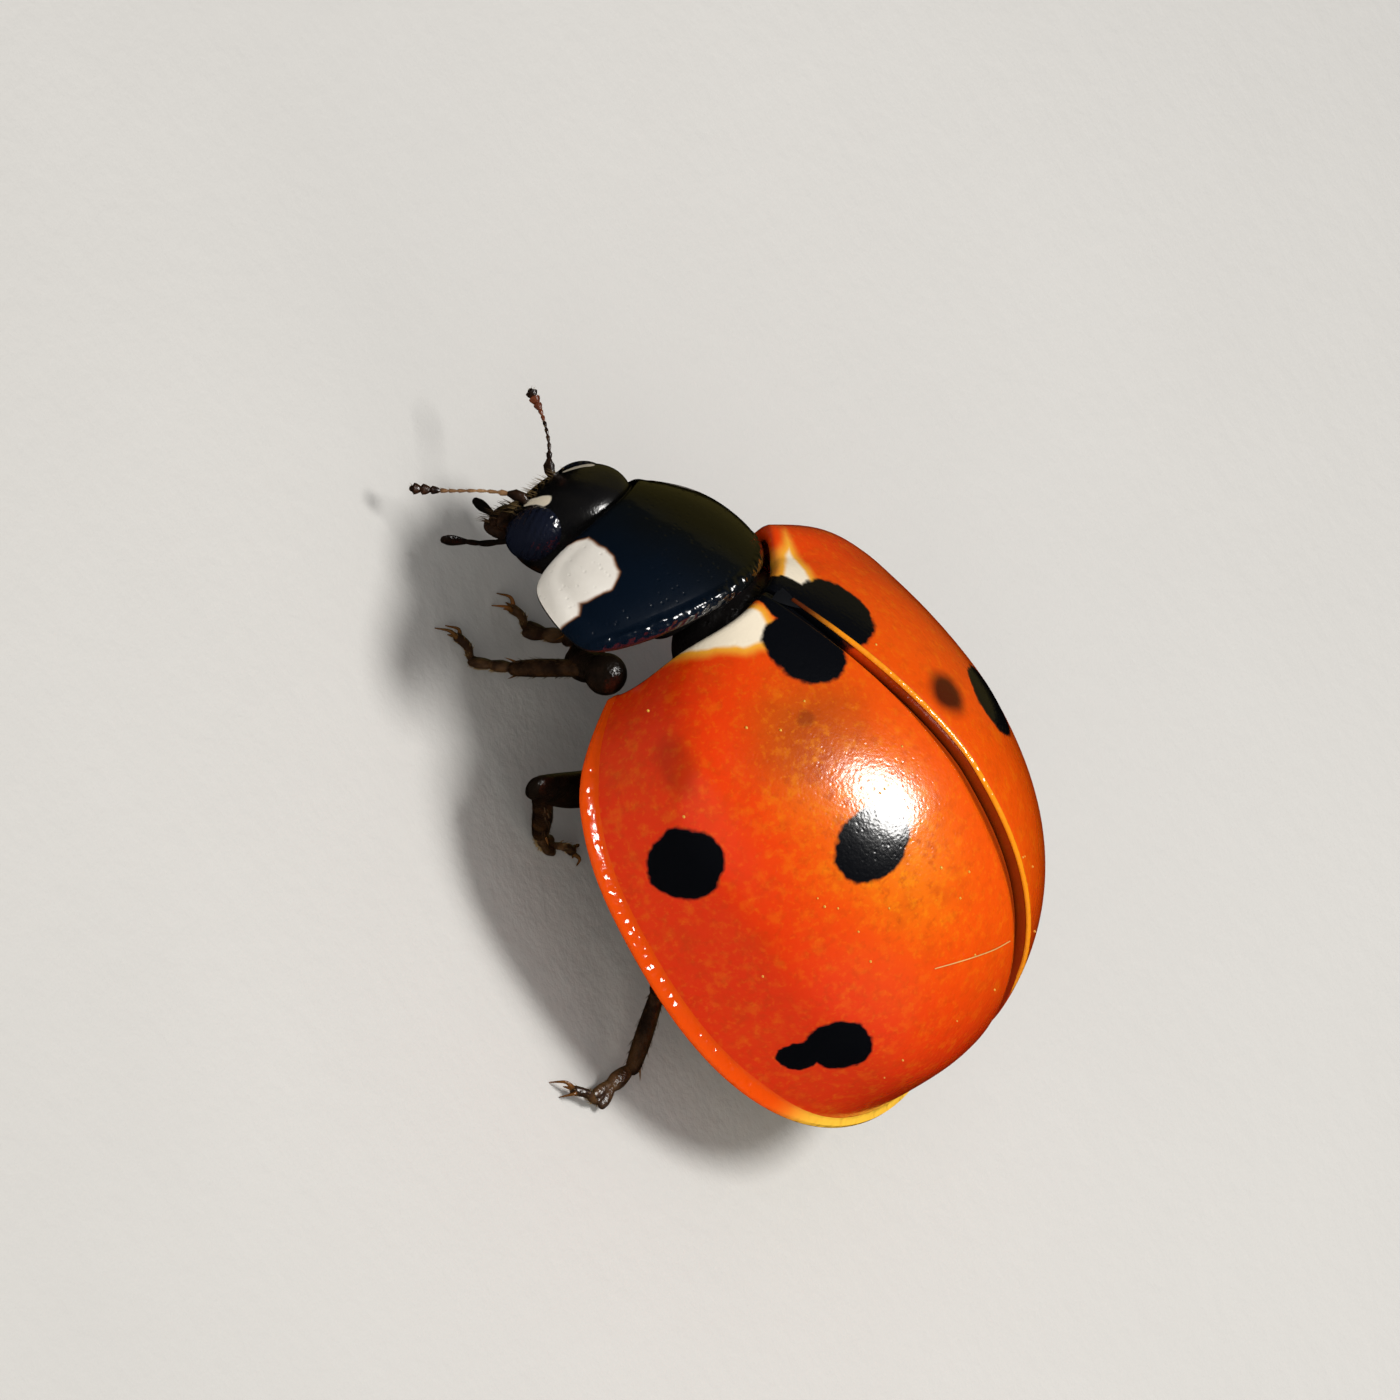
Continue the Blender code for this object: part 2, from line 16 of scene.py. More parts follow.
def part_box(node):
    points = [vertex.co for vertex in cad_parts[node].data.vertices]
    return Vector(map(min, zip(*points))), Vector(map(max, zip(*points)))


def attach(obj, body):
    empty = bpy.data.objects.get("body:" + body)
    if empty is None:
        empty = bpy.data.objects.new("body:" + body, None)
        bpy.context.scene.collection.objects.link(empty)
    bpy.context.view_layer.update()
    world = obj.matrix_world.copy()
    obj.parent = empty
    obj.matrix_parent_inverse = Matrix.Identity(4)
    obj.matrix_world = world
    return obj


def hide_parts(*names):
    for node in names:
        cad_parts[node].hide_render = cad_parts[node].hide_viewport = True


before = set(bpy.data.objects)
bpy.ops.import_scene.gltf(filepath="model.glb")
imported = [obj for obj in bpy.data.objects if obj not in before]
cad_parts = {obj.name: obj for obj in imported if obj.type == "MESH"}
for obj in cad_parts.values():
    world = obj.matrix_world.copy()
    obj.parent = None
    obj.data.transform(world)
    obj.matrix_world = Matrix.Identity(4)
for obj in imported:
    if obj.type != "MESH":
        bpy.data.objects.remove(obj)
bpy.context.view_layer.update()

MM = 0.001
GROUND = -1.25  # the ground's height in the body frame

# --- sizes of the part, in millimetres ---

CASE_LENGTH = 5.60
# The wing cases' half width and rise: the most, where that is as a share of the length, the share
# of it left at the front, and the powers of the front's curve and the tail's.
CASE_HALF_WIDTH = (2.93, 0.37, 0.58, 3.1, (2.38, 0.46))
CASE_RISE = (2.74, 0.47, 0.56, 1.67, (2.37, 0.544))
ARCH_POWERS = (2.04, 0.504)
RIM_CURVE = 0.79
RIM_LOWEST_AT = 0.72
SHOULDER_REACH = 0.26
SHOULDER_SHARE = 0.30
SHOULDER_ROUND = (0.16, 0.10, 2.5)  # how much the shoulder narrows, over what share, and its power

SHIELD_AT = (0.0, -0.22, 1.855)
SHIELD_TILT = (32.2, -5.3, -7.3)
SHIELD_LENGTH = 1.60
SHIELD_REAR_HALF_WIDTH = 1.75
SHIELD_FRONT_HALF_WIDTH = 1.13
SHIELD_SIDE_SWELL = 0.29
SHIELD_DROP = 0.74
SHIELD_DROP_POWER = 2.2
SHIELD_CROWN = 0.167
SHIELD_REAR_BOW = 0.79
SHIELD_FRONT_BOW = 0.29

HEAD_AT = (-0.12, -1.50, 0.17)
HEAD_TURN = (0.0, -5.3, -7.3)
EYE_AT = (0.61, -0.14, -0.05)
EYE_RADII = (0.25, 0.28, 0.35)

# Joints of the feelers and palps in the head's frame.
FEELERS = {
    "antenna_left": [(0.37, -0.50, -0.12), (0.45, -0.72, -0.40), (0.60, -0.93, -0.74), (0.73, -1.12, -1.00)],
    "antenna_right": [
        (-0.37, -0.50, -0.12), (-0.49, -0.73, -0.04), (-0.70, -0.98, -0.07), (-0.86, -1.23, -0.14)],
}
PALPS = {
    "palp_left": [(0.34, -0.20, -0.78), (0.46, -0.33, -0.92), (0.62, -0.48, -1.05)],
    "palp_right": [(-0.30, -0.22, -0.86), (-0.32, -0.36, -0.96), (-0.34, -0.52, -1.06)],
}
# Hip, knee and ankle, then the ball of the foot and the toe in plan.
LEGS = {
    "front_left": [
        (0.48, -0.30, -0.20), (1.05, -0.30, 0.30), (0.92, -0.60, -0.66), (0.82, -0.84), (0.84, -1.16)],
    "front_right": [
        (-0.48, -0.24, -0.20), (-1.12, -0.42, 0.04), (-0.30, -0.24, -0.80), (-0.24, -0.55), (-0.20, -0.84)],
    "middle_left": [
        (0.62, 1.10, -0.42), (2.20, 0.22, -0.32), (1.78, 0.84, -0.93), (1.52, 1.10), (1.24, 1.38)],
    "middle_right": [
        (-0.62, 1.10, -0.42), (-2.30, 0.52, -0.30), (-2.78, 0.86, -0.92), (-3.02, 1.14), (-3.24, 1.46)],
    "hind_left": [
        (0.70, 2.52, -0.44), (2.28, 2.69, -0.38), (2.64, 3.28, -0.98), (3.26, 3.24), (3.52, 2.92)],
    "hind_right": [
        (-0.70, 2.52, -0.44), (-2.30, 2.96, -0.36), (-2.80, 3.66, -0.94), (-3.18, 3.92), (-3.52, 4.20)],
}


def body_origin():
    """Where the body frame's origin lies in the world, from the wing cases' boxes."""
    left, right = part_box("elytron_left"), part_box("elytron_right")
    middle = (left[0].x + right[1].x) / 2
    return Vector((middle, left[1].y - CASE_LENGTH * MM, -GROUND * MM))


def turned(degrees):
    return Euler([math.radians(angle) for angle in degrees], "XYZ").to_matrix()


ORIGIN = body_origin()
BODY = Matrix.Translation(ORIGIN)
SHIELD = BODY @ Matrix.Translation(Vector(SHIELD_AT) * MM) @ turned(SHIELD_TILT).to_4x4()
HEAD = BODY @ Matrix.Translation(Vector(HEAD_AT) * MM) @ turned(HEAD_TURN).to_4x4()


# --- curves and surfaces of the body ---

STEP = 1e-4  # the share over which directions on the dome are measured
UP = np.array([0, 0, 1.0])


def smooth(value):
    """Rises smoothly from 0 at value 0 to 1 at value 1."""
    value = np.clip(value, 0, 1)
    return value * value * (3 - 2 * value)


def hump(value, middle, width):
    """A bell of height 1 round the middle."""
    return np.exp(-(((value - middle) / width) ** 2))


def rounded(share, powers):
    """Falls from 1 at share 0 to 0 at share 1, as full as its powers make it."""
    share = np.clip(share, 0, 1)
    return np.clip(1 - share ** powers[0], 0, None) ** powers[1]


def profile(t, shape):
    """A size of the cases along them: it grows to its most and falls to nothing at the tail."""
    most, most_at, front_share, front_power, tail_powers = shape
    rear = most * rounded((t - most_at) / (1 - most_at), tail_powers)
    short = np.clip((most_at - t) / most_at, 0, 1)
    return np.where(t > most_at, rear, most * (1 - (1 - front_share) * short**front_power))


def dome_half_width(t):
    narrower, length, power = SHOULDER_ROUND
    return profile(t, CASE_HALF_WIDTH) * (1 - narrower * np.clip(1 - t / length, 0, 1) ** power)


def dome_rise(t):
    return profile(t, CASE_RISE)


def rim_height(t):
    return RIM_CURVE * (t - RIM_LOWEST_AT) ** 2


def dome(t, share):
    """Points of the wing cases' dome, as in the part; t and share may be arrays."""
    t, share = np.broadcast_arrays(np.asarray(t, float), np.asarray(share, float))
    front = np.clip(1 - t / SHOULDER_SHARE, 0, 1)
    return np.stack([
        share * dome_half_width(t),
        CASE_LENGTH * t - SHOULDER_REACH * share**2 * front,
        rim_height(t) + dome_rise(t) * rounded(np.abs(share), ARCH_POWERS),
    ], -1)


def unit(vectors):
    vectors = np.asarray(vectors, float)
    return vectors / np.maximum(np.linalg.norm(vectors, axis=-1, keepdims=True), 1e-9)


def dome_axes(t, share):
    """Unit vectors at a point of the dome: to the tail, across to the left, and out."""
    along = unit(dome(t + STEP, share) - dome(t - STEP, share))
    across = dome(t, share + STEP) - dome(t, share - STEP)
    out = unit(np.cross(across, along))
    return along, unit(np.cross(along, out)), out


def shield(u, v):
    """Points of the neck shield's upper face in its own frame: u rear to front, v right to left."""
    u, v = np.broadcast_arrays(np.asarray(u, float), np.asarray(v, float))
    across = 2 * v - 1
    half_width = SHIELD_REAR_HALF_WIDTH + (SHIELD_FRONT_HALF_WIDTH - SHIELD_REAR_HALF_WIDTH) * u
    half_width = half_width + SHIELD_SIDE_SWELL * 4 * u * (1 - u)
    bow = SHIELD_REAR_BOW * (1 - u) + SHIELD_FRONT_BOW * u
    return np.stack([
        across * half_width,
        -SHIELD_LENGTH * u - bow * across**2,
        SHIELD_CROWN * 2 * u * (1 - u) - SHIELD_DROP * np.abs(across) ** SHIELD_DROP_POWER,
    ], -1)


def smooth_route(points, stations):
    """Points evenly spaced in parameter along a Catmull-Rom curve through the given points."""
    points = np.asarray(points, float)
    padded = np.vstack([2 * points[0] - points[1], points, 2 * points[-1] - points[-2]])
    route = []
    for place in np.linspace(0, len(points) - 1, stations):
        index = min(int(place), len(points) - 2)
        before, start, end, after = padded[index : index + 4]
        t = place - index
        route.append(0.5 * (
            2 * start
            + (end - before) * t
            + (2 * before - 5 * start + 4 * end - after) * t**2
            + (3 * start - before - 3 * end + after) * t**3
        ))
    return np.array(route)


def between(at, places, points):
    """Points at some places along a line, from its points at others."""
    return np.stack([np.interp(at, places, points[:, axis]) for axis in range(3)], -1)


def along_route(route, shares):
    """Points at shares of a route's length."""
    steps = np.linalg.norm(np.diff(route, axis=0), axis=1)
    return between(shares, np.concatenate([[0], np.cumsum(steps)]) / steps.sum(), route)


def stretch(route, start, end, stations):
    """Points from one share of a route's length to another."""
    return along_route(route, np.linspace(start, end, stations))


# --- building pieces ---

SHARP_ANGLE = 50
# A hair: three rings of three points and a tip.
HAIR_TAPER = ((0, 1.0), (0.45, 0.75), (0.8, 0.4))  # how far along each ring lies, and its size
HAIR_TURNS = (0, 2.1, 4.2)
HAIR_SIDE = (0.31, 0.83, 0.46)  # a way that hardly any hair has, from which its rings are turned
HAIR_FACES = (
    (2, 1, 0), (0, 1, 4, 3), (1, 2, 5, 4), (2, 0, 3, 5), (3, 4, 7, 6), (4, 5, 8, 7), (5, 3, 6, 8),
    (6, 7, 9), (7, 8, 9), (8, 6, 9))


def placed(name, data):
    """A new object in the scene."""
    made = bpy.data.objects.new(name, data)
    bpy.context.scene.collection.objects.link(made)
    return made


class Shape:
    """Points and faces of one piece, in millimetres in the frame that it is built in."""

    def __init__(self):
        self.points = []
        self.faces = []
        self.marks = []  # which of the piece's materials each face has
        self.count = 0

    def add(self, points, faces, mark=0):
        points = np.asarray(points, float).reshape(-1, 3)
        self.points.append(points)
        self.faces += [[corner + self.count for corner in face] for face in faces]
        self.marks += mark if isinstance(mark, list) else [mark] * len(faces)
        self.count += len(points)

    def add_grid(self, points, wrap=False, mark=0, marks=None):
        """A sheet over rows and columns of points; wrap closes each row into a ring."""
        rows, columns = points.shape[:2]
        index = np.arange(rows * columns).reshape(rows, columns)
        if wrap:
            index = np.hstack([index, index[:, :1]])
        quads = np.stack([index[:-1, :-1], index[:-1, 1:], index[1:, 1:], index[1:, :-1]], -1)
        if marks is not None:
            mark = np.broadcast_to(marks, quads.shape[:2]).ravel().tolist()
        self.add(points, quads.reshape(-1, 4).tolist(), mark)

    def add_tube(self, route, radii, sides=12, flat=1.0, facing=(0.13, 0.21, 1.0), mark=0):
        """A tube with round ends. facing is the way in which it is squeezed to flat times its radius."""
        route = np.asarray(route, float)
        radii = np.broadcast_to(np.asarray(radii, float), len(route)).copy()
        way = unit(np.gradient(route, axis=0))
        turns = np.radians([0, 30, 60])
        start = [route[0] - way[0] * radii[0] * math.cos(turn) for turn in turns]
        end = [route[-1] + way[-1] * radii[-1] * math.cos(turn) for turn in turns[::-1]]
        caps = np.sin(turns)
        route = np.vstack([start, route, end])
        radii = np.concatenate([caps * radii[0], radii, caps[::-1] * radii[-1]])
        way = np.vstack([np.repeat(way[:1], 3, 0), way, np.repeat(way[-1:], 3, 0)])
        facing = np.asarray(facing, float)
        thin = unit(facing - (way @ facing)[:, None] * way)
        wide = np.cross(way, thin)
        angles = np.linspace(0, 2 * math.pi, sides, endpoint=False)
        ring = np.cos(angles)[None, :, None] * wide[:, None]
        ring = ring + np.sin(angles)[None, :, None] * thin[:, None] * flat
        self.add_grid(route[:, None] + ring * radii[:, None, None], wrap=True, mark=mark)

    def add_ball(self, centre, radii, rows, columns, turn=None, mark=0, bend=None):
        """An ellipsoid; bend may move its unit points before they are scaled."""
        polar = np.linspace(0, math.pi, rows)[:, None]
        around = np.linspace(0, 2 * math.pi, columns, endpoint=False)[None]
        ball = np.stack([
            np.sin(polar) * np.cos(around),
            np.sin(polar) * np.sin(around),
            np.cos(polar) + 0 * around,
        ], -1)
        if bend:
            ball = bend(ball)
        ball = ball * np.asarray(radii)
        if turn is not None:
            ball = ball @ np.array(turn).T
        self.add_grid(ball + np.asarray(centre), wrap=True, mark=mark)

    def add_hairs(self, roots, ways, lengths, thickness, sag=(0, 0, 0), mark=0):
        """Three-sided spikes from the roots, bending towards sag."""
        sag = np.asarray(sag)
        for root, way, length in zip(np.asarray(roots), unit(ways), np.broadcast_to(lengths, len(roots))):
            side = unit(np.cross(way, HAIR_SIDE))
            other = np.cross(way, side)
            points = []
            for share, size in HAIR_TAPER:
                middle = root + way * length * share + sag * length * share**2
                for turn in HAIR_TURNS:
                    out = side * math.cos(turn) + other * math.sin(turn)
                    points.append(middle + out * thickness * size)
            points.append(root + way * length + sag * length)
            self.add(points, HAIR_FACES, mark)

    def mesh(self, name, materials):
        mesh = bpy.data.meshes.new(name)
        mesh.from_pydata((np.vstack(self.points) * MM).tolist(), [], self.faces)
        for material in materials:
            mesh.materials.append(material)
        mesh.polygons.foreach_set("material_index", self.marks)
        return mesh

    def build(self, name, materials, nodes=(), place=BODY, wall=0.0):
        """Makes the object, riding on the body in place of the named nodes. A sheet gets a wall."""
        mesh = self.mesh(name, materials)
        body = bmesh.new()
        body.from_mesh(mesh)
        bmesh.ops.remove_doubles(body, verts=body.verts, dist=0.0002 * MM)
        bmesh.ops.dissolve_degenerate(body, edges=body.edges, dist=0.0001 * MM)
        if not wall:
            bmesh.ops.recalc_face_normals(body, faces=body.faces)
        body.to_mesh(mesh)
        body.free()
        mesh.shade_smooth()
        mesh.set_sharp_from_angle(angle=math.radians(SHARP_ANGLE))
        piece = placed(name, mesh)
        piece.matrix_world = place
        if wall:
            solidify = piece.modifiers.new("wall", "SOLIDIFY")
            solidify.thickness = wall * MM
            solidify.offset = -1
        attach(piece, "root")
        if nodes:
            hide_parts(*nodes)


# --- materials ---


class Paint:
    """One material's nodes. Places are in millimetres in the piece's own frame."""

    def __init__(self, name, roughness=0.3, coat=0.0, coat_roughness=0.1, specular=0.5):
        self.material = bpy.data.materials.new(name)
        self.material.use_nodes = True
        self.tree = self.material.node_tree
        self.shader = self.tree.nodes["Principled BSDF"]
        self.give("Roughness", roughness)
        self.give("Coat Weight", coat)
        self.give("Coat Roughness", coat_roughness)
        self.give("Specular IOR Level", specular)
        self.place = self.vector("SCALE", self.node("TexCoord").outputs["Object"], scale=1 / MM)

    def node(self, kind, **inputs):
        made = self.tree.nodes.new("ShaderNode" + kind)
        for name, value in inputs.items():
            self.feed(made.inputs[name.replace("_", " ")], value)
        return made

    def feed(self, socket, value):
        if isinstance(value, bpy.types.NodeSocket):
            self.tree.links.new(value, socket)
        else:
            socket.default_value = value

    def give(self, name, value):
        self.feed(self.shader.inputs[name], value)

    def base(self, share, first, second):
        """Gives the surface a mix of two colours."""
        self.give("Base Color", self.mix(share, first, second))

    def number(self, operation, first, second=0.0, clamp=False):
        made = self.node("Math")
        made.operation = operation
        made.use_clamp = clamp
        self.feed(made.inputs[0], first)
        self.feed(made.inputs[1], second)
        return made.outputs[0]

    def joined(self, operation, parts):
        """One operation over two or more parts, from the first to the last."""
        total = parts[0]
        for part in parts[1:]:
            total = self.number(operation, total, part)
        return total

    def plus(self, *parts):
        return self.joined("ADD", parts)

    def times(self, *parts):
        return self.joined("MULTIPLY", parts)

    def vector(self, operation, first, second=None, scale=None):
        made = self.node("VectorMath")
        made.operation = operation
        self.feed(made.inputs[0], first)
        if second is not None:
            self.feed(made.inputs[1], second)
        if scale is not None:
            self.feed(made.inputs["Scale"], scale)
        single = operation in ("DOT_PRODUCT", "LENGTH", "DISTANCE")
        return made.outputs["Value" if single else "Vector"]

    def axis(self, place, axis):
        return self.node("SeparateXYZ", Vector=place).outputs[axis]

    def noise(self, scale, detail=3.0, roughness=0.5):
        made = self.node("TexNoise", Vector=self.place, Scale=scale, Detail=detail, Roughness=roughness)
        return made.outputs["Fac"]

    def cells(self, scale):
        return self.node("TexVoronoi", Vector=self.place, Scale=scale).outputs["Distance"]

    def pits(self, scale, width):
        """Small round hollows: 0 in their middles and 1 outside them."""
        return self.step(self.cells(scale), 0.0, width)

    def step(self, value, low, high, start=0.0, end=1.0):
        """start below low and end above high, with a smooth change between."""
        made = self.node("MapRange")
        made.interpolation_type = "SMOOTHSTEP"
        for socket, number in zip(made.inputs[:5], (value, low, high, start, end)):
            self.feed(socket, number)
        return made.outputs[0]

    def mix(self, share, first, second):
        made = self.node("Mix")
        made.data_type = "RGBA"
        self.feed(made.inputs[0], share)
        for socket, colour in ((made.inputs[6], first), (made.inputs[7], second)):
            self.feed(socket, (*colour, 1) if isinstance(colour, tuple) else colour)
        return made.outputs[2]

    def cover(self, colour, tone, away, start, end, strength=1.0):
        """colour, with tone over it where away is below start, fading until end."""
        return self.mix(self.step(away, start, end, strength, 0.0), colour, tone)

    def warped(self, scale, amount, start=None):
        """The place, or another start, moved about by noise, for edges that aren't quite even."""
        made = self.node("TexNoise", Vector=self.place, Scale=scale, Detail=2.0)
        shift = self.vector("SUBTRACT", made.outputs["Color"], (0.5, 0.5, 0.5))
        return self.vector("ADD", start or self.place, self.vector("SCALE", shift, scale=amount))

    def oval(self, centre, axes, radii, place):
        """Distance from a centre in units of the radii along three axes."""
        away = self.vector("SUBTRACT", place, tuple(centre))
        scaled = self.node("CombineXYZ")
        for index, (axis, radius) in enumerate(zip(axes, radii)):
            way = tuple(np.asarray(axis, float) / radius)
            self.feed(scaled.inputs[index], self.vector("DOT_PRODUCT", away, way))
        return self.vector("LENGTH", scaled.outputs[0])

    def streak(self, start, end, radii, place):
        """Distance outside a straight streak between two points, whose radius changes along it."""
        way = np.asarray(end, float) - np.asarray(start, float)
        away = self.vector("SUBTRACT", place, tuple(start))
        reach = self.vector("DOT_PRODUCT", away, tuple(way))
        share = self.number("MULTIPLY", reach, 1 / float(way @ way), clamp=True)
        along = self.node("CombineXYZ")
        for axis in range(3):
            self.feed(along.inputs[axis], self.times(share, float(way[axis])))
        radius = self.plus(self.times(share, radii[1] - radii[0]), radii[0])
        return self.number("SUBTRACT", self.vector("DISTANCE", away, along.outputs[0]), radius)

    def polygon(self, corners, place):
        """How far a place in plan is outside a convex polygon, and below nothing inside it."""
        corners = np.asarray(corners, float)
        middle = corners.mean(0)
        sides = []
        for start, end in zip(corners, np.roll(corners, -1, axis=0)):
            out = unit(np.array([end[1] - start[1], start[0] - end[0]]))
            if (middle - start) @ out > 0:
                out = -out
            reach = self.vector("DOT_PRODUCT", place, (out[0], out[1], 0.0))
            sides.append(self.number("SUBTRACT", reach, float(start @ out)))
        return self.joined("MAXIMUM", sides)

    def bump(self, height, depth):
        """depth is how many millimetres a height of 1 stands out."""
        made = self.node("Bump", Height=height, Distance=depth * MM)
        self.give("Normal", made.outputs["Normal"])
        self.give("Coat Normal", made.outputs["Normal"])


# --- colours ---

BLACK = (0.0025, 0.003, 0.0045)
# Near-black with painted reflections: blue for the neck shield's left, olive for its right.
SHIELD_BLUE_REFLECTION = (0.002, 0.0055, 0.0125)
SHIELD_OLIVE_REFLECTION = (0.004, 0.004, 0.002)
# Orange given to the top of the cases as painted light.
CASE_LIT_ORANGE = (0.80, 0.085, 0.001)
CASE_RED = (0.78, 0.030, 0.001)
# Ochre of the painted pool of light round the highlight.
CASE_LIT_OCHRE = (0.80, 0.18, 0.001)
CASE_BROWN = (0.42, 0.060, 0.001)
CASE_PATCH_DARK = (0.055, 0.010, 0.003)
CASE_DARK = (0.40, 0.048, 0.001)
CASE_AMBER = (0.82, 0.24, 0.002)
BEAD_ORANGE = (0.90, 0.29, 0.006)
# Dark brown for the painted shade along the seam, and for the bead's dark front end.
SEAM_BROWN = (0.085, 0.015, 0.003)
RIM_ORANGE = (0.82, 0.075, 0.002)
RIM_YELLOW = (0.95, 0.55, 0.050)
POLLEN = (0.86, 0.50, 0.05)
FIBRE_GOLD = (0.90, 0.52, 0.12)
CREAM = (0.95, 0.84, 0.66)
SHIELD_WHITE = (0.95, 0.91, 0.84)
SHIELD_GREY = (0.82, 0.77, 0.70)
HORN_BROWN = (0.055, 0.022, 0.008)
AMBER = (0.24, 0.085, 0.018)
LEG_BROWN = (0.008, 0.005, 0.003)
HAIR_GOLD = (0.40, 0.27, 0.11)
HAIR_BROWN = (0.10, 0.055, 0.02)

# Spots of one wing case: shares of its length and half width, radii along and across, and for some
# how far the spot's middle lies from there towards the tail and outwards.
OUTER_SPOTS = (
    (0.259, 0.932, 0.39, 0.41), (0.721, 0.916, 0.37, 0.36, 0.05, -0.10),
    (0.721, 0.916, 0.22, 0.24, -0.02, 0.32))
LEFT_SPOTS = (*OUTER_SPOTS, (0.427, 0.549, 0.36, 0.49, -0.02, -0.05))
RIGHT_SPOTS = (*OUTER_SPOTS, (0.447, 0.455, 0.42, 0.48))
# The spot that both cases share round the scutellum, as three ovals in plan: middle and radii.
SHARED_SPOT = ((0.43, 0.56, 0.45, 0.41), (-0.31, 0.60, 0.45, 0.42), (-0.02, 0.16, 0.34, 0.34))
# Patches of other colour, the ochre one a painted pool of light round the highlight: their middles as
# shares, and their radii along and across.
LIT_OCHRE_PATCH = (0.40, 0.46, 1.95, 1.10)
BROWN_PATCH = (0.19, 0.44, 0.75, 0.95)
# Darker patches, one of them on the right case, each with a strength.
DARK_PATCHES = (
    (0.345, -0.168, 0.30, 0.32, 0.97), (0.18, 0.42, 0.11, 0.12, 0.35), (0.12, 0.86, 0.42, 0.24, 0.30))
# Fine clouds in the cases' colour: noise scale, where each starts and is full, its strength and tone.
MOTTLES = (
    (3.0, 0.48, 0.74, 0.55, CASE_DARK), (6.5, 0.50, 0.70, 0.65, CASE_AMBER),
    (9.0, 0.50, 0.70, 0.60, CASE_DARK), (17.0, 0.54, 0.70, 0.60, CASE_AMBER))
# The white patches at the front of the cases, in plan.
CREAM_LEFT = ((1.16, -0.30), (0.38, -0.22), (0.385, 0.02), (0.51, 0.205), (0.65, 0.24), (0.87, 0.134))
CREAM_RIGHT = ((-0.15, 0.00), (-0.17, 0.06), (-0.30, 0.22), (-0.47, 0.27), (-0.66, 0.12), (-0.92, -0.04))
# White corner of the neck shield, in two parts: shares of its length from the rear and half width.
CORNER_PATCH = (
    (1.06, 1.0), (0.93, 0.62), (0.685, 0.60), (0.575, 0.64), (0.49, 0.74), (0.51, 0.86), (0.6, 1.1))
CORNER_TAIL = ((0.60, 0.84), (0.44, 0.93), (0.42, 1.06), (0.6, 1.1))
MARGIN_WRINKLES = (-0.16, -0.06, 14.0)  # where the shield's wrinkled rear band starts, and its strength
EYE_RIDGES = (-16, 78, 57)  # across the eye's fine ridges, as long as their wave's angle in 1 mm
SPOT_DEPTH = 1.2  # a spot's radius out of the dome, so that it reaches the face
AXES = ((1, 0, 0), (0, 1, 0), (0, 0, 1))


# --- materials of the piece's parts ---


def dome_oval(paint, place, patch, depth=SPOT_DEPTH, side=1):
    """Distance from the middle of an oval on the dome, in units of its radii."""
    t, share, along_radius, across_radius, *shift = patch
    tailward, outward = shift or (0, 0)
    along, across, out = dome_axes(t, side * share)
    centre = dome(t, side * share) + along * tailward + across * side * outward
    return paint.oval(centre, (along, across, out), (along_radius, across_radius, depth), place)


def case_ground(paint):
    """The cases' colour: red below and orange on top as painted light, a painted pool of light in ochre
    round the highlight, a brown patch, and fine clouds.
    """
    # Painted light: the top, where the lamp falls most, is made more orange, and noise varies it at random.
    top = paint.step(paint.axis(paint.place, 2), 0.9, 3.0)
    warmth = paint.plus(top, paint.times(paint.noise(0.8, 4, 0.6), 0.8))
    colour = paint.mix(paint.step(warmth, 0.25, 1.45), CASE_RED, CASE_LIT_ORANGE)
    # A painted pool of light: ochre round the highlight.
    lit_ochre_away = dome_oval(paint, paint.warped(1.2, 0.7), LIT_OCHRE_PATCH, 3.0)
    ochre = paint.step(lit_ochre_away, 0.15, 1.0, 0.9, 0.0)
    colour = paint.mix(ochre, colour, CASE_LIT_OCHRE)
    brown_away = dome_oval(paint, paint.warped(1.5, 0.5), BROWN_PATCH, 2.0)
    colour = paint.cover(colour, CASE_BROWN, brown_away, 0.1, 1.2, 0.85)
    cloudy = paint.plus(paint.times(ochre, 0.75), 0.30)
    for scale, low, high, strength, tone in MOTTLES:
        share = paint.step(paint.noise(scale, 3, 0.6), low, high, 0.0, strength)
        colour = paint.mix(paint.times(share, cloudy), colour, tone)
    return colour


def seam_shade(paint):
    """Painted shade along the seam: the darker line on the left case beside it, and on the right case's
    inner edge.
    """
    x, y = paint.axis(paint.place, 0), paint.axis(paint.place, 1)
    width = paint.step(y, 0.6, 3.6, 0.10, 0.30)
    shade = paint.step(paint.number("DIVIDE", x, width), 0.30, 1.05, 0.65, 0.0)
    return paint.times(shade, paint.number("GREATER_THAN", x, -0.008), paint.step(y, 0.6, 1.6))


def spots_away(paint, place):
    """Distance from the nearest black spot's middle in units of its radii."""
    away = []
    for side, spots in ((1, LEFT_SPOTS), (-1, RIGHT_SPOTS)):
        away += [dome_oval(paint, place, spot, side=side) for spot in spots]
    for x, y, across_radius, along_radius in SHARED_SPOT:
        away.append(paint.oval((x, y, 2), AXES, (across_radius, along_radius, 50), place))
    return paint.joined("MINIMUM", away)


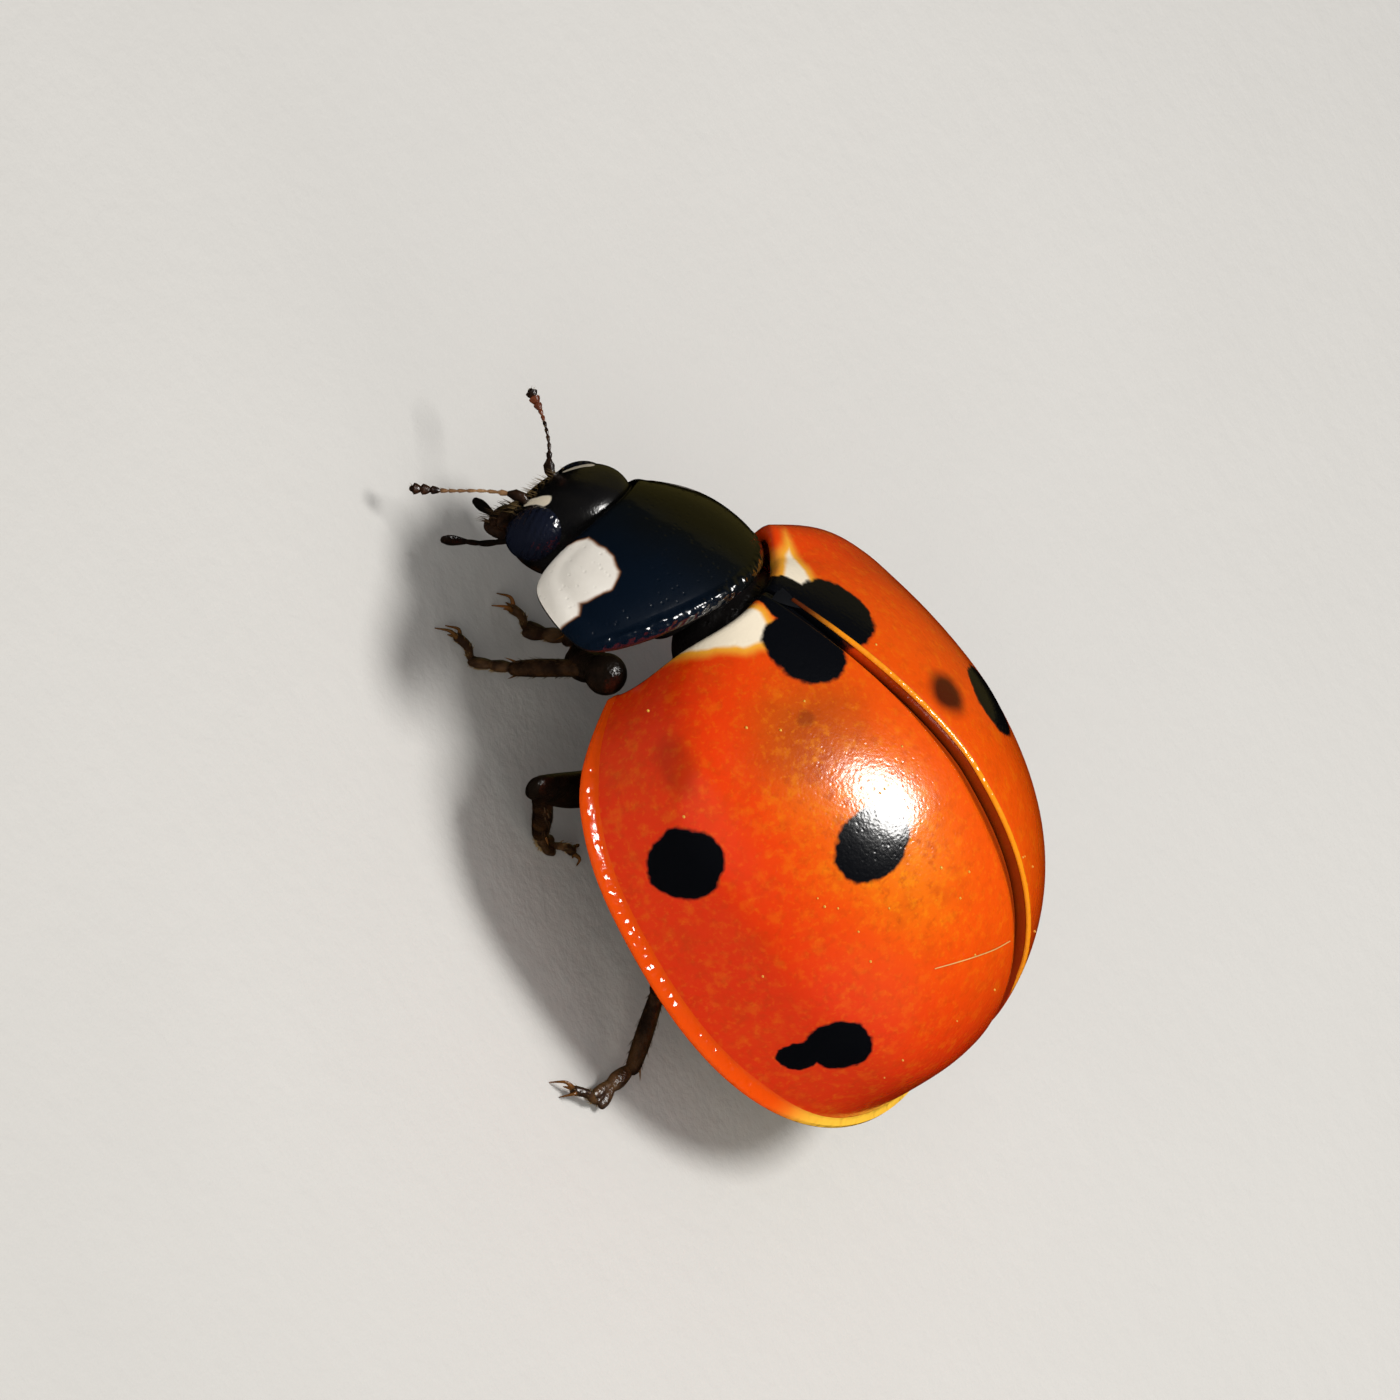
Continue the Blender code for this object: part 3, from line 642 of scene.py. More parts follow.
def wing_case_paint():
    paint = Paint("wing_case", roughness=0.22, coat=0.8, coat_roughness=0.13, specular=0.4)
    wavy = paint.warped(3.0, 0.11)
    # Painted shade along the seam.
    colour = paint.mix(seam_shade(paint), case_ground(paint), SEAM_BROWN)
    for corners in (CREAM_LEFT, CREAM_RIGHT):
        away = paint.polygon(corners, wavy)
        colour = paint.cover(colour, RIM_YELLOW, away, 0.0, 0.16, 0.75)
        colour = paint.cover(colour, CREAM, away, -0.03, 0.03)
    for *patch, strength in DARK_PATCHES:
        colour = paint.cover(colour, CASE_PATCH_DARK, dome_oval(paint, wavy, patch), 0.45, 1.15, strength)
    away = spots_away(paint, paint.warped(12.0, 0.055, wavy))
    paint.give("Base Color", paint.cover(colour, BLACK, away, 0.93, 1.05))
    pits = paint.pits(13.0, 0.35)
    grain, swell = paint.noise(22.0, 1), paint.noise(1.7, 2)
    paint.bump(paint.plus(pits, paint.times(grain, 1.7), paint.times(swell, 4.0)), 0.0013)
    return paint.material


def seam_bead_paint():
    paint = Paint("seam_bead", roughness=0.2, coat=1.0, coat_roughness=0.12)
    start = paint.step(paint.axis(paint.place, 1), 0.20, 0.90)
    share = paint.plus(start, -0.15, paint.times(paint.noise(3.0), 0.3))
    paint.base(paint.step(share, 0.0, 1.0), SEAM_BROWN, BEAD_ORANGE)
    paint.bump(paint.noise(11.0, 2), 0.016)
    return paint.material


def lining_paint():
    paint = Paint("seam_lining", roughness=0.9, specular=0.1)
    # Near-black brown: painted shade, standing in for the dark inside of the seam.
    paint.base(paint.noise(6.0, 4), (0.012, 0.004, 0.002), (0.040, 0.010, 0.003))
    paint.bump(paint.noise(30.0, 3), 0.004)
    return paint.material


def rim_paint():
    paint = Paint("wing_rim", roughness=0.14, coat=1.0, coat_roughness=0.10)
    # Yellow towards the tail is painted light: the thin rim there looks as if light shines through it.
    tail = paint.step(paint.axis(paint.place, 1), 4.2, 5.1)
    share = paint.plus(tail, paint.times(paint.noise(2.0), 0.4))
    paint.base(paint.step(share, 0.2, 1.2), RIM_ORANGE, RIM_YELLOW)
    pearls = paint.pits(9.0, 0.6)
    paint.bump(paint.plus(pearls, paint.noise(7.0, 3)), 0.009)
    return paint.material


def shield_white(paint):
    """Distance outside the white corners of the neck shield."""
    wavy = paint.warped(3.0, 0.10)
    away = []
    for side in (1, -1):
        for shape in (CORNER_PATCH, CORNER_TAIL):
            corners = [shield(u, (side * share + 1) / 2)[:2] for u, share in shape]
            away.append(paint.polygon(corners, wavy))
    return paint.joined("MINIMUM", away)


def shield_paint():
    """Black with a painted blue reflection towards the left and a painted olive one towards the right, with
    white corners and a wrinkled rear margin.
    """
    paint = Paint("black_plate", roughness=0.26, coat=1.0, coat_roughness=0.10, specular=0.35)
    across, along = paint.axis(paint.place, 0), paint.axis(paint.place, 1)
    leftward = paint.plus(across, paint.times(paint.noise(1.5), 0.8))
    reflected_tint = paint.mix(paint.step(leftward, 0.1, 1.6), SHIELD_OLIVE_REFLECTION, SHIELD_BLUE_REFLECTION)
    white = paint.mix(paint.noise(4.0, 4, 0.6), SHIELD_WHITE, SHIELD_GREY)
    away = shield_white(paint)
    edge = paint.mix(paint.step(away, -0.03, 0.02), white, AMBER)
    paint.base(paint.step(away, -0.005, 0.03), edge, reflected_tint)
    behind = paint.plus(along, paint.times(across, across, SHIELD_REAR_BOW / SHIELD_REAR_HALF_WIDTH**2))
    start, end, strength = MARGIN_WRINKLES
    wrinkles = paint.times(paint.noise(8.0, 1), paint.step(behind, start, end, 0.0, strength))
    pits = paint.pits(11.0, 0.28)
    paint.bump(paint.plus(pits, paint.times(paint.noise(2.2, 3), 3.0), wrinkles), 0.004)
    return paint.material


def plain_black_paint(name, colour=BLACK, roughness=0.3, scale=12.0, depth=0.006, coat=0.8, specular=0.5):
    paint = Paint(name, roughness, coat, 0.12, specular)
    paler = tuple(1.6 * part + 0.001 for part in colour)
    paint.base(paint.step(paint.noise(3.0, 4), 0.45, 0.75), colour, paler)
    paint.bump(paint.plus(paint.pits(scale, 0.3), paint.noise(scale * 2)), depth)
    return paint.material


def head_paint():
    paint = Paint("head_plate", roughness=0.26, coat=1.0, coat_roughness=0.10)
    wavy = paint.warped(6.0, 0.05)
    colour = paint.mix(paint.noise(4.0), BLACK, (0.010, 0.009, 0.008))
    for start, end in HEAD_MARKS:
        colour = paint.cover(colour, CREAM, paint.streak(start, end, HEAD_MARK_RADII, wavy), -0.012, 0.012)
    paint.give("Base Color", paint.cover(colour, HORN_BROWN, paint.axis(wavy, 2), -0.58, -0.48, 0.8))
    pits = paint.pits(15.0, 0.30)
    paint.bump(paint.plus(pits, paint.noise(30.0)), 0.003)
    return paint.material


def eye_paint():
    paint = Paint("eye", roughness=0.25, coat=1.0, coat_roughness=0.08)
    # Black mixed by noise with a bluish tone, a painted reflection of the sky.
    paint.base(paint.noise(3.0), (0.005, 0.006, 0.011), (0.008, 0.011, 0.025))
    ridges = paint.number("SINE", paint.vector("DOT_PRODUCT", paint.warped(4.0, 0.06), EYE_RIDGES))
    ridges = paint.times(ridges, paint.step(paint.noise(7.0, 2), 0.35, 0.60))
    paint.bump(paint.plus(ridges, paint.cells(24.0)), 0.006)
    return paint.material


def horn_paint(name, dark, light, spread=0.5, roughness=0.35):
    """Glossy horn between a dark and a light brown."""
    paint = Paint(name, roughness, 0.6, 0.15)
    share = paint.step(paint.noise(5.0, 4, 0.6), spread - 0.15, spread + 0.25)
    paint.base(share, dark, light)
    paint.bump(paint.plus(paint.cells(24.0), paint.noise(40.0)), 0.006)
    return paint.material


def hair_paint(name, light, dark):
    paint = Paint(name, roughness=0.45)
    paint.base(paint.noise(3.0), light, dark)
    return paint.material


# --- wing cases ---

CASE_ROWS = 230
CASE_COLUMNS = 92
SEAM_COLUMNS = 26
SEAM_STRIP = 0.45  # how much of the case beside the seam has closer columns
BEAD_PLACE = 0.026  # how far right of the middle the seam's bead runs
BEAD_LIFT = 0.022
BEAD_RADIUS = 0.032
BEAD_FLAT = 0.6
BEAD_FACING = (0.38, -0.05, 0.92)  # the way in which it is flat
BEAD_SINK = 0.06  # how deep it sinks into the case at the tail
SEAM_STATIONS = 160
# The lining is dark as painted shade inside the seam.
LINING_DEPTH = 0.15  # the dark strip that closes the seam under its bead
LINING_RADIUS = 0.07
LINING_FLAT = 0.3
SEAM_WALL = (-0.14, -0.09, -0.045, -0.015)  # the inner edge's depths under the case's face
LEFT_SEAM = 0.045  # where the left case's inner edge lies; the right one's lies in the middle
CASE_SKIN = 0.04  # how thick its sheet is
LIP_RADIUS = 0.11
WALL_LEAN = 0.12  # how far the case's wall leans in over its rim for each millimetre up
WALL_BLEND = 0.08  # over what distance it runs into the dome
WALL_FOOT = 0.075  # how high the wall ends over the outline, and up to where it is lifted
WALL_FOOT_RISE = 0.35
SHOULDER_SWELL = 0.055  # how high the swelling over the shoulder is
SHOULDER_SWELL_T = (0.13, 0.07)  # its middle and width along the case, and across it
SHOULDER_SWELL_SHARE = (0.80, 0.10)
SHOULDER_TRIM = 0.10  # how much the shoulder's corner is rounded off, as a share of its width
SHOULDER_TRIM_SHARE = 0.12  # over what share of the case's length
SHOULDER_SWEEP = 0.22  # how far the corner is swept back
RIM_SPARE = 0.012  # how much nearer to the outline the wall's foot stands than the rim is wide
LIP_STEPS = 7
LIP_TURN = 2.1  # through what angle the front edge turns in
LIP_END = 0.12  # the lip's share of its radius at the rim's end
LIP_FADE = 14  # and how many columns before that it starts to fade
RIM_WIDTH = 0.155  # the rim's usual width on top
RIM_TOP = 8  # how many points of its profile lie there
OUTLINE_SAMPLES = 1500
FRONT_POINT = (0.75, 0.30, 0.15)  # the right case's pointed front: its share, half width and length
FRONT_POINT_REACH = (0.10, -0.15, 0.12)  # and where it is moved
# The rim outside the wall, as a gutter, a lip and the turned-in edge: out from the outline and up.
RIM_PROFILE = (
    (-0.146, 0.058), (-0.138, 0.046), (-0.126, 0.037), (-0.108, 0.028),
    (-0.086, 0.017), (-0.064, 0.006), (-0.044, -0.004), (-0.027, -0.015),
    (-0.014, -0.029), (-0.007, -0.046), (-0.008, -0.062), (-0.020, -0.076),
    (-0.10, -0.074), (-0.24, -0.045), (-0.38, -0.005), (-0.42, 0.050))


def seam_relief(side, away, t):
    """How far a case's face stands up by its seam: hardly rounded on the right, more on the left."""
    ends = smooth(t / 0.22) * smooth((1 - t) / 0.10)
    if side < 0:
        return -0.012 * (1 - smooth(away / 0.05)) - 0.010 * hump(away, 0.09, 0.03) * ends
    width = 0.11 + 0.20 * smooth((t - 0.12) / 0.5)
    return -0.11 * (1 - smooth(away / width)) * (0.25 + 0.75 * ends)


def rim_width(t):
    return 0.045 + 0.11 * smooth(t / 0.09) - 0.075 * smooth((t - 0.72) / 0.2)


def rim_out(t):
    """The way straight out from the left case's outline in plan."""
    ahead, behind = dome(np.clip(t + STEP, 0, 1), 1.0), dome(np.clip(t - STEP, 0, 1), 1.0)
    way = ahead - behind
    return unit(np.stack([way[..., 1], -way[..., 0], 0 * t], -1))


def outline_near(points):
    """The nearest place of the left case's outline in plan: its t, the way out and how far it is."""
    t = 1 - np.linspace(1, 0, OUTLINE_SAMPLES) ** 2
    outline, out = dome(t, 1.0), rim_out(t)
    near = np.empty(points.shape[:2], int)
    for row, line in enumerate(points):
        gaps = line[:, None, :2] - outline[None, :, :2]
        near[row] = (gaps**2).sum(-1).argmin(1)
    return t[near], out[near], ((outline[near] - points) * out[near]).sum(-1)


def case_places(side, half_width):
    """Where a case's columns lie: as shares of the half width, and how far away from its seam."""
    seam = np.minimum(LEFT_SEAM if side > 0 else 0.0, 0.3 * half_width)
    width = half_width - seam
    strip = np.minimum(SEAM_STRIP, 0.5 * width)
    near = strip[:, None] * np.linspace(0, 1, SEAM_COLUMNS, endpoint=False)
    far = np.sin(np.linspace(0, 1, CASE_COLUMNS) * math.pi / 2)
    away = np.hstack([near, strip[:, None] + (width - strip)[:, None] * far])
    share = (seam[:, None] + away) / np.maximum(half_width, 1e-6)[:, None]
    share[-1] = share[-2]
    return np.minimum(share, 1.0), away


def inside_rim(points, height):
    """Points of the case's face moved in behind the rim, and lifted where the wall meets it."""
    near_t, way, inside = outline_near(points)
    more = rim_width(near_t) - RIM_SPARE + WALL_LEAN * height - inside
    points = points - way * ((more + np.sqrt(more**2 + WALL_BLEND**2)) / 2)[..., None]
    foot = WALL_FOOT * rim_width(near_t) / RIM_WIDTH
    points[..., 2] += foot * np.clip(1 - height / WALL_FOOT_RISE, 0, 1) ** 2
    return points


def rim_points(t):
    section = np.array(RIM_PROFILE)
    scale = (rim_width(t) / RIM_WIDTH)[:, None, None]
    top = (np.arange(len(section)) < RIM_TOP)[None, :, None]
    shift = section[None] * (1 + (scale - 1) * top)
    return dome(t, 1.0)[:, None] + rim_out(t)[:, None] * shift[..., :1] + UP * shift[..., 1:]


def shape_front(grid, t, half_width, side):
    """Rounds off the shoulder's corner and draws the right case's front out to its point."""
    corner = np.clip(1 - t / SHOULDER_TRIM_SHARE, 0, 1)[:, None] ** 2
    reach = np.clip(grid[..., 0] / np.maximum(half_width, 1e-6)[:, None], 0, 1)
    grid[..., 0] *= 1 - SHOULDER_TRIM * corner * reach**3
    grid[..., 1] += SHOULDER_SWEEP * corner * reach**9
    if side > 0:
        return grid
    middle, spread, length = FRONT_POINT
    point = smooth(1 - np.abs(reach - middle) / spread)
    point = point * np.clip(1 - t / length, 0, 1)[:, None] ** 1.6
    return grid + point[..., None] * FRONT_POINT_REACH


def front_lip(edge, forward, up):
    """Rows of points where the case's front edge turns down and in."""
    spare = ((len(SEAM_WALL), len(RIM_PROFILE)), (0, 0))
    forward, up = np.pad(forward, spare, "edge"), np.pad(up, spare, "edge")
    columns_left = np.arange(len(edge))[::-1, None]
    radius = LIP_RADIUS * (LIP_END + (1 - LIP_END) * smooth(columns_left / LIP_FADE))
    rows = []
    for turn in LIP_TURN * np.arange(LIP_STEPS, 0, -1) / LIP_STEPS:
        rows.append(edge + radius * (math.sin(turn) * forward + (math.cos(turn) - 1) * up))
    return np.array(rows)


def case_grid(side):
    """Rows of points from the front edge to the tail; columns from the seam out to the rim."""
    t = np.sin(np.linspace(0, 1, CASE_ROWS) * math.pi / 2) ** 1.3
    half_width = dome_half_width(t)
    share, away = case_places(side, half_width)
    rows = np.broadcast_to(t[:, None], share.shape)
    along, _, out = dome_axes(np.clip(rows, 0.002, 0.998), np.clip(share, 0, 0.9995))
    shoulder = SHOULDER_SWELL * hump(rows, *SHOULDER_SWELL_T) * hump(share, *SHOULDER_SWELL_SHARE)
    points = dome(rows, share) + out * (seam_relief(side, away, rows) + shoulder)[..., None]
    height = dome_rise(rows) * rounded(share, ARCH_POWERS)
    points = inside_rim(points, height)
    wall_depth = np.array(SEAM_WALL)[None, :, None] * smooth(height[:, :1, None] / 0.4)
    wall = points[:, :1] + out[:, :1] * wall_depth
    grid = shape_front(np.concatenate([wall, points, rim_points(t)], axis=1), t, half_width, side)
    return np.concatenate([front_lip(grid[0], -along[0], out[0]), grid], axis=0)


def wing_case(name, side, materials):
    shape = Shape()
    grid = case_grid(side)
    marks = np.zeros((grid.shape[0] - 1, grid.shape[1] - 1), int)
    marks[:, -len(RIM_PROFILE) :] = 1
    if side < 0:
        grid = (grid * (-1, 1, 1))[:, ::-1]
        marks = marks[:, ::-1]
    shape.add_grid(grid, marks=marks)
    shape.build(name + "_shell", materials, [name], wall=CASE_SKIN)


def seam_bead(materials):
    """The right case's raised edge along the seam, and the dark strip under it."""
    edge = case_grid(-1)[LIP_STEPS:, len(SEAM_WALL) + 1] * (-1, 1, 1)
    t = np.linspace(0.035, 0.97, SEAM_STATIONS)
    route = between(t * CASE_LENGTH, edge[:, 1], edge) * (0, 1, 1)
    out = dome_axes(np.minimum(t, 0.96), 0.0)[2]
    girth = BEAD_RADIUS * (0.7 + 0.3 * smooth(t / 0.2)) * (0.55 + 0.45 * smooth((1 - t) / 0.15))
    lift = (BEAD_LIFT - BEAD_SINK * smooth((t - 0.84) / 0.12))[:, None]
    shape = Shape()
    shape.add_tube(route + (-BEAD_PLACE, 0, 0) + out * lift, girth, 20, BEAD_FLAT, BEAD_FACING)
    shape.add_tube(route - out * LINING_DEPTH, LINING_RADIUS, 12, LINING_FLAT, mark=1)
    shape.build("seam_bead", materials)


# --- neck shield, scutellum and prothorax ---

PLATE_ROWS = 70
PLATE_COLUMNS = 110
PLATE_CORNER_POWER = 7.5
PLATE_EDGE = 0.07  # radius of the rounded edge
REAR_EDGE = 0.10
PLATE_DEPTH = 0.22
PLATE_GROOVE = (0.022, 0.16, 0.06)  # along the sides: its depth, how far in it lies, and its width
TRUNK_REACH = (0.82, 0.56)  # how much of the shield's length and width the trunk under it takes


def plate_spread(rows, columns):
    """A grid over a square with rounded corners, closer at its edges; how far out each point lies,
    and how much it lies towards a side.
    """
    first = -np.cos(np.linspace(0, math.pi, rows))[:, None]
    second = -np.cos(np.linspace(0, math.pi, columns))[None]
    first, second = np.broadcast_arrays(first, second)
    reach = np.maximum(np.abs(first), np.abs(second))
    power = PLATE_CORNER_POWER
    rounder = (np.abs(first) ** power + np.abs(second) ** power) ** (1 / power)
    shrink = reach / np.maximum(rounder, 1e-9)
    side_on = np.abs(second) ** 4 / np.maximum(np.abs(first) ** 4 + np.abs(second) ** 4, 1e-12)
    return first * shrink, second * shrink, reach, side_on


def neck_shield(materials):
    u, across, reach, side_on = plate_spread(PLATE_ROWS, PLATE_COLUMNS)
    top = shield((u + 1) / 2, (across + 1) / 2)
    size = side_on * SHIELD_REAR_HALF_WIDTH * 0.9 + (1 - side_on) * SHIELD_LENGTH / 2
    edge = (1 - reach) * size
    rear = smooth(1.2 - 1.6 * side_on) * smooth(-u / 0.6)
    radius = PLATE_EDGE + (REAR_EDGE - PLATE_EDGE) * rear
    fall = np.sqrt(np.clip(radius**2 - np.clip(radius - edge, 0, None) ** 2, 0, None))
    groove_depth, groove_at, groove_width = PLATE_GROOVE
    groove = groove_depth * hump(edge, groove_at, groove_width) * side_on
    under = -fall - radius - PLATE_DEPTH * smooth((edge - 0.1) / 0.4)
    shape = Shape()
    shape.add_grid(top + UP * (fall - radius - groove)[..., None])
    shape.add_grid((top + UP * under[..., None])[:, ::-1], mark=1)
    shape.build("neck_shield", materials, ["pronotum"], SHIELD)


def front_trunk(material):
    """The body under the neck shield, thin at its sides, which stand free of the wing cases."""
    u, across, reach, _ = plate_spread(40, 60)
    top = shield((u * TRUNK_REACH[0] + 1) / 2, (across * TRUNK_REACH[1] + 1) / 2)
    depth = 0.10 + 0.95 * np.clip(1 - reach**2, 0, None) ** 0.6
    shape = Shape()
    shape.add_grid(top - UP * 0.12)
    shape.add_grid((top - UP * (0.12 + depth[..., None]))[:, ::-1])
    shape.build("front_trunk", [material], ["prothorax"], SHIELD)


def middle_back(material):
    """The dark back between the neck shield and the wing cases' front edge."""
    shape = Shape()
    shape.add_ball((0, 0.15, 1.20), (0.85, 0.42, 0.55), rows=40, columns=60)
    shape.build("middle_back", [material])


def scutellum(material):
    """A small plate between the cases, pointed to the tail and slightly domed."""
    along, across, out = dome_axes(0.02, 0.0)
    back = np.linspace(0, 1, 14)[:, None, None]
    side = np.linspace(-1, 1, 13)[None, :, None]
    grid = across * (0.13 * (1 - back**1.6)) * side - along * (0.10 - 0.30 * back)
    grid = grid + dome(0.02, 0.0) - out * 0.006
    bulge = np.sin(back * math.pi) * np.sin((side + 1) / 2 * math.pi)
    shape = Shape()
    shape.add_grid((grid + out * 0.012 * bulge**0.6)[:, ::-1])
    shape.add_grid(grid - out * 0.08)
    shape.build("scutellum_plate", [material], ["scutellum"])


# --- head ---

# Pale marks beside the eyes: where each starts and ends, and the radii there.
HEAD_MARKS = (((0.41, -0.43, -0.09), (0.48, -0.40, 0.165)), ((-0.15, -0.46, 0.17), (-0.30, -0.40, 0.355)))
HEAD_MARK_RADII = (0.034, 0.074)
HEAD_SQUARENESS = 2.6
HEAD_HAIRS = 70
CAPSULE_RADII = (0.75, 0.48, 0.72)
# The plate over the mouth and the upper lip: middles and radii.
LIPS = (((0, -0.30, -0.55), (0.33, 0.10, 0.12)), ((0, -0.33, -0.68), (0.25, 0.085, 0.10)))
LIP_SLANT = -24
LIP_HAIRS = 26
JAW = ((0.24, -0.22, -0.62), (0.23, -0.31, -0.74), (0.10, -0.36, -0.80))


def head_bend(ball):
    """Squares the head a little, seen from above, and draws it in towards the mouth."""
    ball = ball.copy()
    flat = np.hypot(ball[..., 0], ball[..., 1])
    square = np.abs(ball[..., 0]) ** HEAD_SQUARENESS + np.abs(ball[..., 1]) ** HEAD_SQUARENESS
    ball[..., :2] *= (flat / np.maximum(square ** (1 / HEAD_SQUARENESS), 1e-9))[..., None]
    ball[..., 0] *= 1 - 0.42 * smooth(-ball[..., 2])
    return ball


def head_capsule(material, hairs):
    shape = Shape()
    shape.add_ball((0, 0, 0), CAPSULE_RADII, rows=70, columns=96, bend=head_bend)
    random = np.random.default_rng(7)
    across = random.uniform(-0.6, 0.6, HEAD_HAIRS)
    ways = np.stack([across, np.full(HEAD_HAIRS, -1.0), random.uniform(-0.9, 0.1, HEAD_HAIRS)], -1)
    roots = head_bend(unit(ways)) * CAPSULE_RADII * 0.98
    ways = ways * (0.5, 0.6, 0.3) + (0, 0, -0.75)
    shape.add_hairs(roots, ways, random.uniform(0.07, 0.13, HEAD_HAIRS), 0.0035, (0, -0.10, 0), mark=1)
    shape.build("head_capsule", [material, hairs], ["head"], HEAD)


def eye(name, side, material):
    shape = Shape()
    shape.add_ball(np.array(EYE_AT) * (side, 1, 1), EYE_RADII, rows=40, columns=56)
    shape.build(name + "_dome", [material], [name], HEAD)


def mouth_parts(horn, hairs):
    """Upper lip, the plate over it, and the jaws."""
    shape = Shape()
    for centre, radii in LIPS:
        shape.add_ball(centre, radii, 20, 30, turned((LIP_SLANT, 0, 0)))
    for side in (-1, 1):
        shape.add_tube(smooth_route(np.array(JAW) * (side, 1, 1), 9), np.linspace(0.085, 0.03, 9), 12, 0.8)
    random = np.random.default_rng(3)
    roots, ways = [], []
    for _ in range(LIP_HAIRS):
        x = random.uniform(-0.25, 0.25)
        roots.append((x, -0.37, random.uniform(-0.76, -0.52)))
        ways.append((x * 0.8, -0.6, random.uniform(-1.0, -0.3)))
    shape.add_hairs(roots, ways, random.uniform(0.08, 0.17, LIP_HAIRS), 0.006, (0, 0, -0.15), mark=1)
    shape.build("mouth_parts", [horn, hairs], ["labrum"], HEAD)


# The beads' lengths and radii, from the head outwards.
FEELER_LENGTHS = (0.24, 0.10, 0.10, 0.095, 0.09, 0.085, 0.08, 0.075, 0.085, 0.085, 0.075)
FEELER_RADII = (0.056, 0.030, 0.020, 0.019, 0.019, 0.019, 0.020, 0.024, 0.040, 0.053, 0.056)
FEELER_ROOT = 0.13  # how far back in the head a feeler starts
FEELER_CLUB = 8  # how many beads come before its club
FEELER_BARREL = ((0.0, 0.15, 0.5, 0.8, 1.0), (0.45, 0.70, 0.98, 1.08, 0.60))  # shares, and girths there


def feeler(name, tones, materials):
    """Eleven beads along the feeler's route, the last three a club. tones is each bead's material."""
    shape = Shape()
    root = np.array(FEELERS[name][0]) + (0, FEELER_ROOT, 0)
    route = smooth_route([root, *FEELERS[name]], 60)
    ends = np.concatenate([[0], np.cumsum(FEELER_LENGTHS)]) / sum(FEELER_LENGTHS)
    random = np.random.default_rng(11)
    for bead, (radius, tone) in enumerate(zip(FEELER_RADII, tones)):
        start, end = ends[bead], ends[bead + 1]
        shares, girths = np.array(FEELER_BARREL)
        points = along_route(route, start + (end - start) * shares)
        fullness, count = (1.0, 4) if bead < FEELER_CLUB else (1.05, 9)
        shape.add_tube(points, radius * girths * fullness, 12, mark=tone)
        places = along_route(route, random.uniform(start, end, count))
        ways = unit(random.normal(size=(count, 3))) * 0.8 + unit(route[-1] - route[0])
        shape.add_hairs(places, ways, radius + random.uniform(0.015, 0.035, count), 0.0035, mark=2)
    shape.build(name + "_beads", materials, [name], HEAD)


PALP_ROOT = (0.60, 0.40, 0.62)  # where it starts inside the mouth, as shares of its first point
PALP_JOINTS = ((0.0, 0.30, 0.034), (0.28, 0.50, 0.034), (0.48, 0.68, 0.029))  # start, end, radius
PALP_BARREL = (0.7, 0.9, 1.0, 1.05, 1.0, 0.85)  # girths along each
HATCHET_RADIUS = 0.060
HATCHET = (0.40, 0.55, 0.70, 0.84, 0.95, 1.0, 0.95, 0.75)  # girths of the last joint


def palp(name, materials):
    """A jaw feeler: three short joints, and a last one like a hatchet."""
    shape = Shape()
    root = np.array(PALPS[name][0]) * PALP_ROOT
    route = smooth_route([root, *PALPS[name]], 40)
    for start, end, radius in PALP_JOINTS:
        joint = stretch(route, start, end, len(PALP_BARREL))
        shape.add_tube(joint, radius * np.array(PALP_BARREL), 14)
    blade = stretch(route, 0.66, 0.98, len(HATCHET))
    shape.add_tube(blade, HATCHET_RADIUS * np.array(HATCHET), 20, 0.5, (1, 0.2, 0.4))
    tip = along_route(route, np.array([0.985]))[0]
    shape.add_ball(tip, (0.022, 0.03, 0.022), rows=10, columns=14, mark=1)
    shape.build(name + "_joints", materials, [name], HEAD)


# --- trunk ---

TRUNK_LENGTH = 4.98
TRUNK_FRONT = 0.06
CHEST_END = 2.30
TRUNK_GAP = 0.62  # wing case's outer face to the trunk under it
TRUNK_FRONT_INSET = 0.45  # and how much more at the front
KEEL_DEPTH = 0.34
KEEL_HALF_WIDTH = 0.95
BELLY_RINGS = (2.30, 3.02, 3.52, 3.97, 4.36, 4.68, 4.98)
RING_STEP = 0.05  # how far each belly ring's rear edge stands over the next
NECK_HEIGHT = 0.98  # the height that the chest narrows to at its front
NECK_SHARE = 0.32  # its share of the full size there
NECK_END = 0.75  # where it has its full size
TRUNK_STATIONS = 120
TRUNK_CAP = (0.02, 0.4, 0.75)  # sizes of the rings that close each end
BELLY_HAIRS = 900


def trunk_ring(y, sides):
    """The trunk's outline across the body at y, a little inside the solid one."""
    t = y / TRUNK_LENGTH
    inset = TRUNK_GAP + TRUNK_FRONT_INSET * max(1 - t / SHOULDER_SHARE, 0)
    half_width = max(float(dome_half_width(t)) - inset, 0.12)
    rise = max(float(dome_rise(t)) - inset, 0.10)
    keel = KEEL_DEPTH * math.cos(min(t, 1) * math.pi / 2) ** 0.5
    base = float(rim_height(y / CASE_LENGTH)) + 0.02
    narrow = NECK_SHARE + (1 - NECK_SHARE) * smooth((y - TRUNK_FRONT) / (NECK_END - TRUNK_FRONT))
    angles = np.linspace(0, 2 * math.pi, sides, endpoint=False)
    x = half_width * np.cos(angles)
    upper = base + rise * rounded(np.abs(np.cos(angles)), ARCH_POWERS)
    lower = base * np.minimum(np.abs(x) / KEEL_HALF_WIDTH, 1) - keel * hump(x, 0, KEEL_HALF_WIDTH)
    under = np.sin(angles) < 0
    height = NECK_HEIGHT + (np.where(under, lower, upper) - NECK_HEIGHT) * narrow
    return np.stack([x * narrow, np.full(sides, y), height], -1), under


